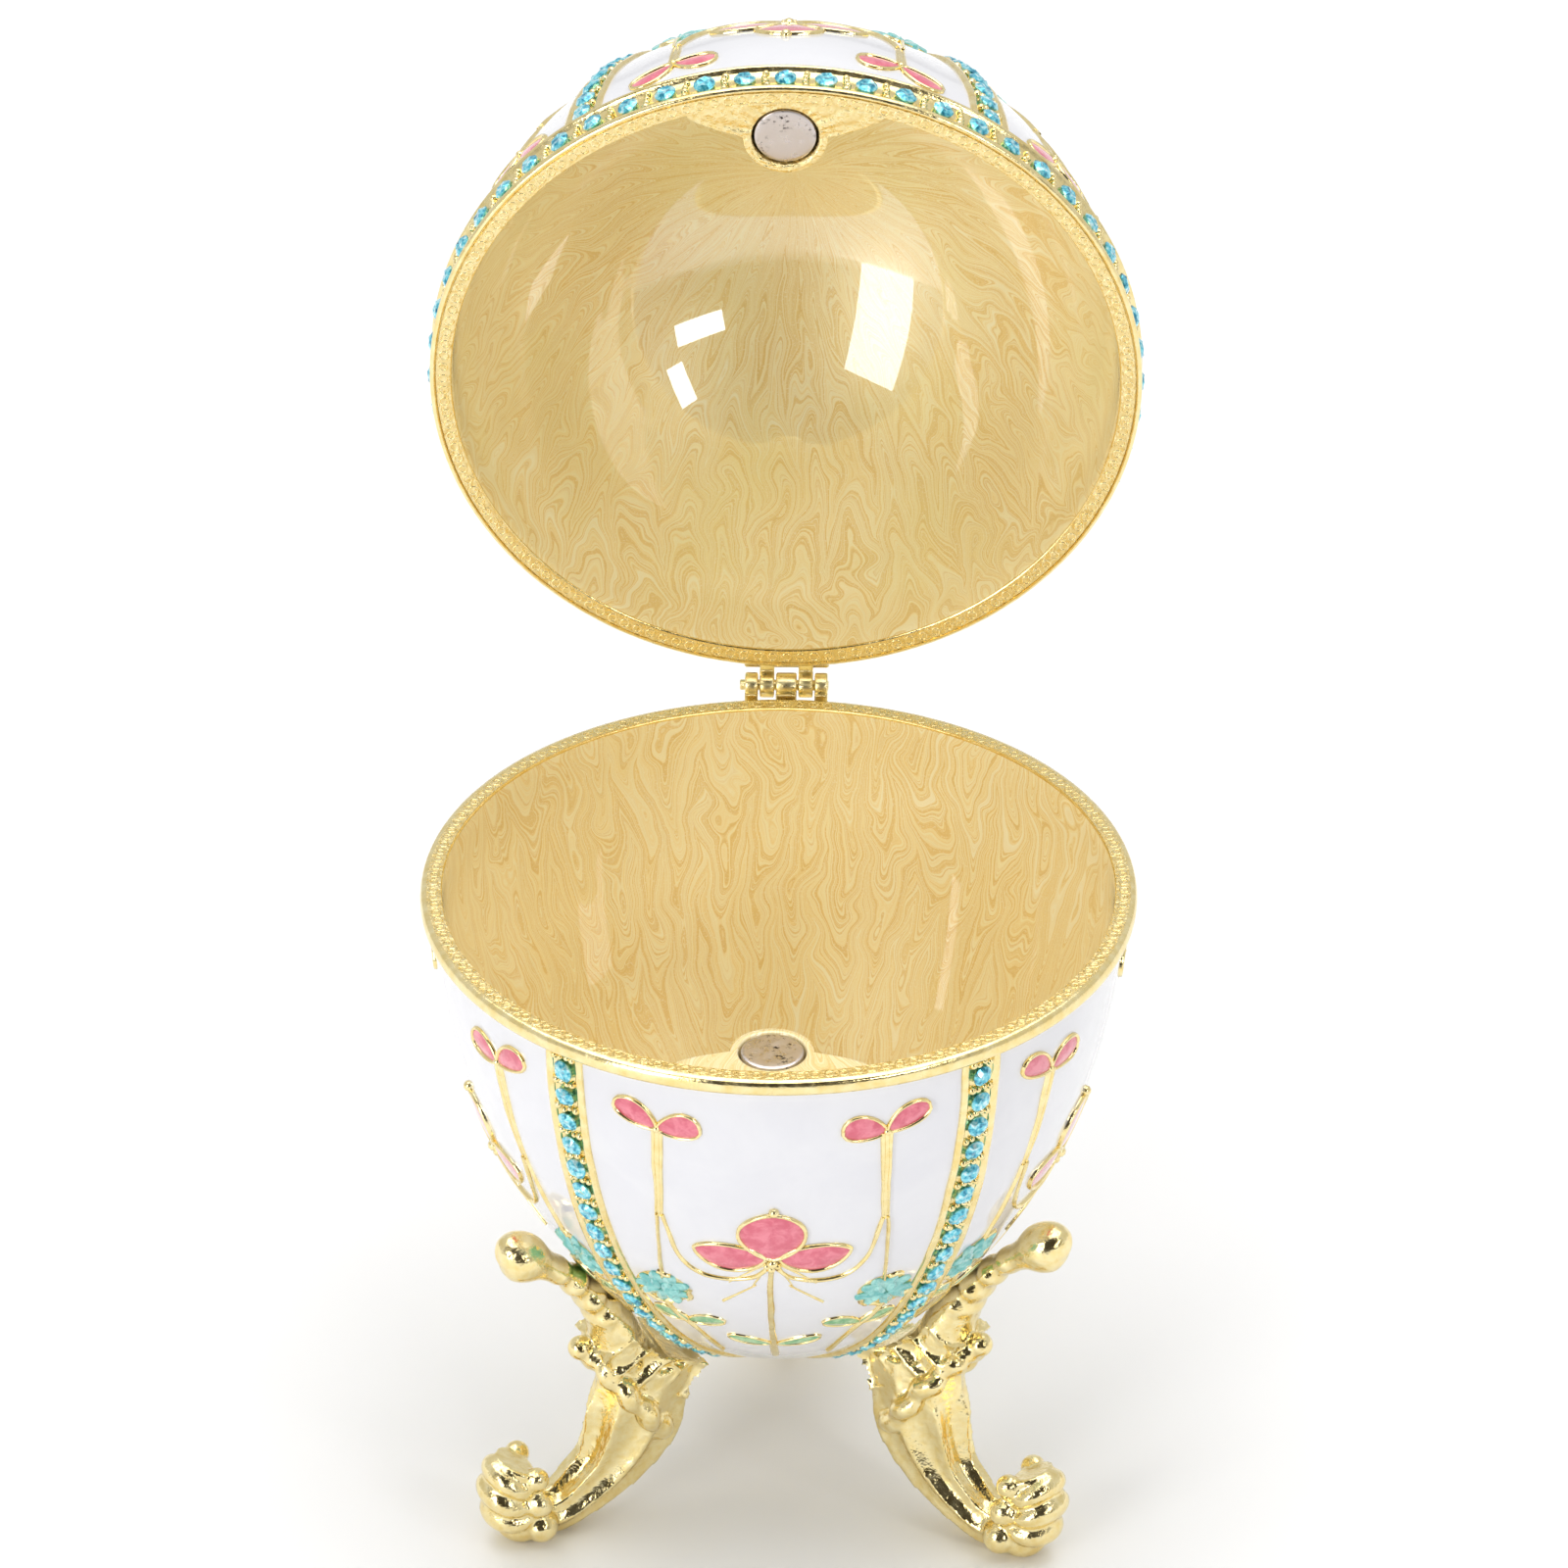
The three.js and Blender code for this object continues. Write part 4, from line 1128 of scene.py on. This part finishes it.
def pearl_finish(name, matrix, arches, sweep_mm, green):
    """Pearl enamel combed along the meridians into nested arches, drawn in the half's own frame."""
    finish = Finish(name, srgb(242, 216, 158), 0.12, 0.38, Coat_Weight=1.0, Coat_Roughness=0.02, Coat_IOR=2.0)
    to_half = matrix.inverted()
    in_half = finish.add("ShaderNodeMapping", vector_type="POINT")
    in_half.inputs["Location"].default_value = to_half.translation
    in_half.inputs["Rotation"].default_value = to_half.to_euler()
    finish.links.new(finish.place, in_half.inputs["Vector"])
    finish.place = in_half.outputs["Vector"]
    axes = finish.add("ShaderNodeSeparateXYZ")
    finish.links.new(finish.place, axes.inputs[0])
    x, y, z = axes.outputs
    squares = finish.math("ADD", finish.math("MULTIPLY", x, x), finish.math("MULTIPLY", y, y))
    across = finish.math("MAXIMUM", finish.math("SQRT", squares), 0.0004)
    angle = finish.math("ARCTAN2", x, finish.math("MULTIPLY", y, -1.0))
    down = finish.math("MULTIPLY", finish.math("ARCTAN2", z, across), 38.0)
    drift = finish.math("SUBTRACT", finish.noise(12, 2.0), 0.5)
    jitter = finish.math("SUBTRACT", finish.noise(3.2, 1.0), 0.5)
    turn = finish.math("ADD", angle, finish.math("MULTIPLY", drift, 0.34))
    turn = finish.math("ADD", turn, finish.math("MULTIPLY", jitter, 0.04))
    comb = finish.math("ABSOLUTE", finish.math("SINE", finish.math("MULTIPLY", turn, arches / 2)))
    tooth = finish.add("ShaderNodeCombineXYZ")
    for value, socket in zip((finish.math("DIVIDE", x, across), finish.math("DIVIDE", y, across),
                              finish.math("MULTIPLY", down, 0.008)), tooth.inputs):
        finish.links.new(value, socket)
    uneven = finish.noise(0.16, 1.0, vector=tooth.outputs[0])
    reach = finish.remap(uneven, 0.32, 0.68, 0.4 * sweep_mm, 1.5 * sweep_mm)
    curl = finish.remap(finish.noise(20, 1.0), 0.54, 0.68, 2.2, 8.0)
    swirl = finish.math("MULTIPLY", finish.math("SUBTRACT", finish.noise(8.0, 1.0), 0.5), curl)
    level = finish.math("ADD", finish.math("SUBTRACT", down, finish.math("MULTIPLY", comb, reach)), swirl)
    ring = finish.add("ShaderNodeCombineXYZ")
    slow = (finish.math("MULTIPLY", finish.math("DIVIDE", x, across), 0.22),
            finish.math("MULTIPLY", finish.math("DIVIDE", y, across), 0.22),
            finish.math("MULTIPLY", level, 0.3))
    for value, socket in zip(slow, ring.inputs):
        finish.links.new(value, socket)
    streak = finish.noise(0.9, 4.5, 0.66, 0.1, ring.outputs[0])
    base = finish.ramp(streak, [(0.30, srgb(247, 222, 156)), (0.40, srgb(236, 204, 130)),
                                (0.44, srgb(249, 228, 166)), (0.50, srgb(253, 243, 200)),
                                (0.54, srgb(238, 208, 136)), (0.58, srgb(249, 229, 168)),
                                (0.66, srgb(254, 248, 216)), (0.74, srgb(246, 222, 156))])
    broad = finish.noise(16, 2.0)
    tinted = finish.mix(finish.remap(broad, 0.45, 0.75, 0.0, green), base, srgb(238, 230, 156))
    mica = finish.noise(0.16, 1.0)
    finish.color(finish.mix(finish.remap(mica, 0.56, 0.74, 0.0, 0.6), tinted, srgb(255, 246, 214)))
    finish.bump(mica, 0.01)
    finish.bump(streak, 0.02)
    return finish.material


def crystal_finish():
    finish = Finish("crystal", srgb(90, 200, 220), 0.5, 0.05, Coat_Weight=1.0, Coat_Roughness=0.02)
    # Stone colour runs by noise from dark teal to near white: painted internal reflections and glints on the
    # lighter facets, painted shade on the darker ones.
    painted_facet_light_stops = [(0.34, srgb(24, 128, 160)), (0.46, srgb(78, 192, 216)), (0.56, srgb(140, 224, 236)),
             (0.68, srgb(214, 246, 250))]
    finish.color(finish.ramp(finish.noise(0.5, 2.0), painted_facet_light_stops))
    return finish.material


def nickel_finish():
    finish = Finish("nickel", srgb(205, 196, 192), 1.0, 0.3)
    stain = finish.math("MULTIPLY", finish.remap(finish.noise(0.5, 5.0, 0.7), 0.55, 0.62, 0.0, 1.0),
                        finish.remap(finish.noise(3.0, 1.0), 0.45, 0.6, 0.0, 1.0))
    finish.color(finish.mix(stain, srgb(208, 199, 194), srgb(60, 50, 46)))
    finish.roughness(finish.remap(finish.noise(1.2, 4.0), 0.3, 0.7, 0.22, 0.42))
    finish.bump(finish.noise(0.4, 3.0), 0.015)
    return finish.material


GOLD = gold_finish("gold", 1.3, 0.05, 0.012)
CAST_GOLD = gold_finish("cast_gold", 0.9, 0.12, 0.02, (0.1, 0.26))
HAMMERED = gold_finish("hammered_gold", 0.55, 0.14, 0.05, (0.2, 0.38))
WHITE = enamel_finish("white", srgb(232, 232, 236), srgb(228, 228, 233), 9.0)
PINK = enamel_finish("pink", srgb(238, 128, 146), srgb(216, 84, 110), 1.4)
TEAL = enamel_finish("teal", srgb(160, 222, 214), srgb(96, 186, 182), 1.0)
GREEN = enamel_finish("green", srgb(168, 208, 156), srgb(104, 170, 112), 0.9)
LINING_CUP = pearl_finish("pearl_cup", CUP_FRAME, 46, 13.0, 0.0)
LINING_LID = pearl_finish("pearl_lid", LID_FRAME, 44, 11.0, 0.35)
CRYSTAL = crystal_finish()
NICKEL = nickel_finish()
BRASS = gold_finish("brass", 1.0, 0.03, 0.015, (0.25, 0.4))


# Assembly

def build_half(half, magnet_node, lining_material):
    half_piece(half, "casting", casting(half), "gold_plate", GOLD, stands_for=(half.name,))
    half_piece(half, "enamel", enamel_panels(half), "white_enamel", WHITE)
    half_piece(half, "bands", bands(half), "gold_plate", GOLD)
    half_piece(half, "crystals", crystals(half), "crystal", CRYSTAL, flat=True)
    half_piece(half, "grains", grains(half), "gold_plate", GOLD, sharp_deg=80)
    half_piece(half, "rim_face", rim_face(), "gold_plate", HAMMERED, sharp_deg=60)
    half_piece(half, "rings", rim_rings(), "gold_plate", GOLD, sharp_deg=80)
    gold, pink, teal, green = Batch(), Batch(), Batch(), Batch()
    for panel in range(PANELS):
        panel_motif(half, panel * SECTOR, gold, pink, teal, green)
    half_piece(half, "wires", gold, "gold_plate", GOLD, sharp_deg=60)
    half_piece(half, "pink_petals", pink, "pink_enamel", PINK, sharp_deg=60)
    half_piece(half, "teal_flowers", teal, "teal_enamel", TEAL, sharp_deg=60)
    half_piece(half, "green_leaves", green, "green_enamel", GREEN, sharp_deg=60)
    half_piece(half, "lining", lining(half), "pearl_enamel", lining_material, sharp_deg=70)
    half_piece(half, "magnet_disc", magnet_disc(), "magnet_nickel", NICKEL, stands_for=(magnet_node,))


build_half(CUP, "cup_magnet", LINING_CUP)
build_half(LID, "lid_magnet", LINING_LID)
half_piece(CUP, "lobe", lobe(0.32, 0.5, 0.0), "pearl_enamel", LINING_CUP, sharp_deg=60)
half_piece(LID, "lobe", lobe(0.12, 0.18, 0.05), "gold_plate", HAMMERED, sharp_deg=60)

CLOSED_HINGE = Matrix.Translation(HINGE)
OPEN_HINGE = CLOSED_HINGE @ Matrix.Rotation(-OPEN_ANGLE, 4, "X")
for piece_name, batch, matrix, body, node in (
        ("cup_leaf", hinge_leaf(0, -1), CLOSED_HINGE, "base", "hinge_cup_leaf"),
        ("lid_leaf", hinge_leaf(1, 1), OPEN_HINGE, "lid", "hinge_lid_leaf"),
        ("pin", hinge_pin(), CLOSED_HINGE, "base", "hinge_pin")):
    make_piece(piece_name, batch, matrix, body, "hinge_brass", BRASS, stands_for=(node,))

LEG_SKIN = remeshed(leg_batch())
for leg_node, azimuth in LEG_AZIMUTHS.items():
    leg_piece(leg_node, azimuth, LEG_SKIN, CAST_GOLD)


# Stage, light and camera

def studio_floor():
    mesh = bpy.data.meshes.new("floor")
    size = 4.0
    corners = [(-size, -size, 0), (size, -size, 0), (size, size, 0), (-size, size, 0)]
    mesh.from_pydata(corners, [], [(0, 1, 2, 3)])
    floor = link_object("floor", mesh)
    finish = Finish("floor", (0.93, 0.93, 0.93), 0.0, 0.6)
    mesh.materials.append(finish.material)


def softbox(name, place, target, size, power):
    light = bpy.data.lights.new(name, "AREA")
    light.shape, light.size, light.size_y = "RECTANGLE", *size
    light.energy = power
    lamp = link_object(name, light)
    lamp.location = place
    lamp.rotation_euler = (Vector(target) - Vector(place)).to_track_quat("-Z", "Y").to_euler()


DARK_SIDE = (0.0, -0.9, 0.43)  # the unlit side of the room, behind the camera


def studio_world():
    world = bpy.data.worlds.new("studio")
    bpy.context.scene.world = world
    world.use_nodes = True
    nodes, links = world.node_tree.nodes, world.node_tree.links
    background = nodes["Background"]
    coordinates = nodes.new("ShaderNodeTexCoord")
    towards = nodes.new("ShaderNodeVectorMath")
    towards.operation = "DOT_PRODUCT"
    towards.inputs[1].default_value = DARK_SIDE
    ramp = nodes.new("ShaderNodeValToRGB")
    ramp.color_ramp.elements[0].position, ramp.color_ramp.elements[0].color = 0.35, (1, 1, 1, 1)
    ramp.color_ramp.elements[1].position, ramp.color_ramp.elements[1].color = 0.8, (0.08, 0.075, 0.07, 1)
    links.new(coordinates.outputs["Generated"], towards.inputs[0])
    links.new(towards.outputs["Value"], ramp.inputs[0])
    links.new(ramp.outputs["Color"], background.inputs["Color"])
    background.inputs["Strength"].default_value = 0.72


CAMERA_ELEVATION = math.radians(32.55)
CAMERA_AZIMUTH = math.radians(1.2)  # from the front, towards +X
CAMERA_DISTANCE = 40 * RIM_RADIUS * MM
CAMERA_LENS = 329.5
AIM_RIGHT = 0.52 * MM
AIM_UP = 9.7 * MM


def studio_camera():
    data = bpy.data.cameras.new("camera")
    data.lens, data.sensor_width = CAMERA_LENS, 36.0
    camera = link_object("camera", data)
    rim_centre = Vector((0, AXIS_Y, HINGE.z))
    level, rise = math.cos(CAMERA_ELEVATION), math.sin(CAMERA_ELEVATION)
    back = Vector((level * math.sin(CAMERA_AZIMUTH), -level * math.cos(CAMERA_AZIMUTH), rise))
    right = Vector((math.cos(CAMERA_AZIMUTH), math.sin(CAMERA_AZIMUTH), 0))
    camera.location = rim_centre + back * CAMERA_DISTANCE
    aim = rim_centre + right * AIM_RIGHT + back.cross(right) * AIM_UP
    camera.rotation_euler = (aim - camera.location).to_track_quat("-Z", "Y").to_euler()
    bpy.context.scene.camera = camera


studio_floor()
studio_world()
studio_camera()
CENTRE = (0, AXIS_Y, HINGE.z)
softbox("key", (-0.80, -1.05, 0.42), CENTRE, (0.50, 1.05), 8.0)
softbox("fill_wide", (0.78, -1.05, 0.51), CENTRE, (0.45, 0.18), 2.0)
softbox("fill_tall", (1.13, -0.95, 1.04), CENTRE, (0.20, 0.42), 2.1)
softbox("top", (0.0, 0.1, 1.3), CENTRE, (1.4, 1.4), 13.0)
bpy.context.scene.view_settings.view_transform = "Standard"
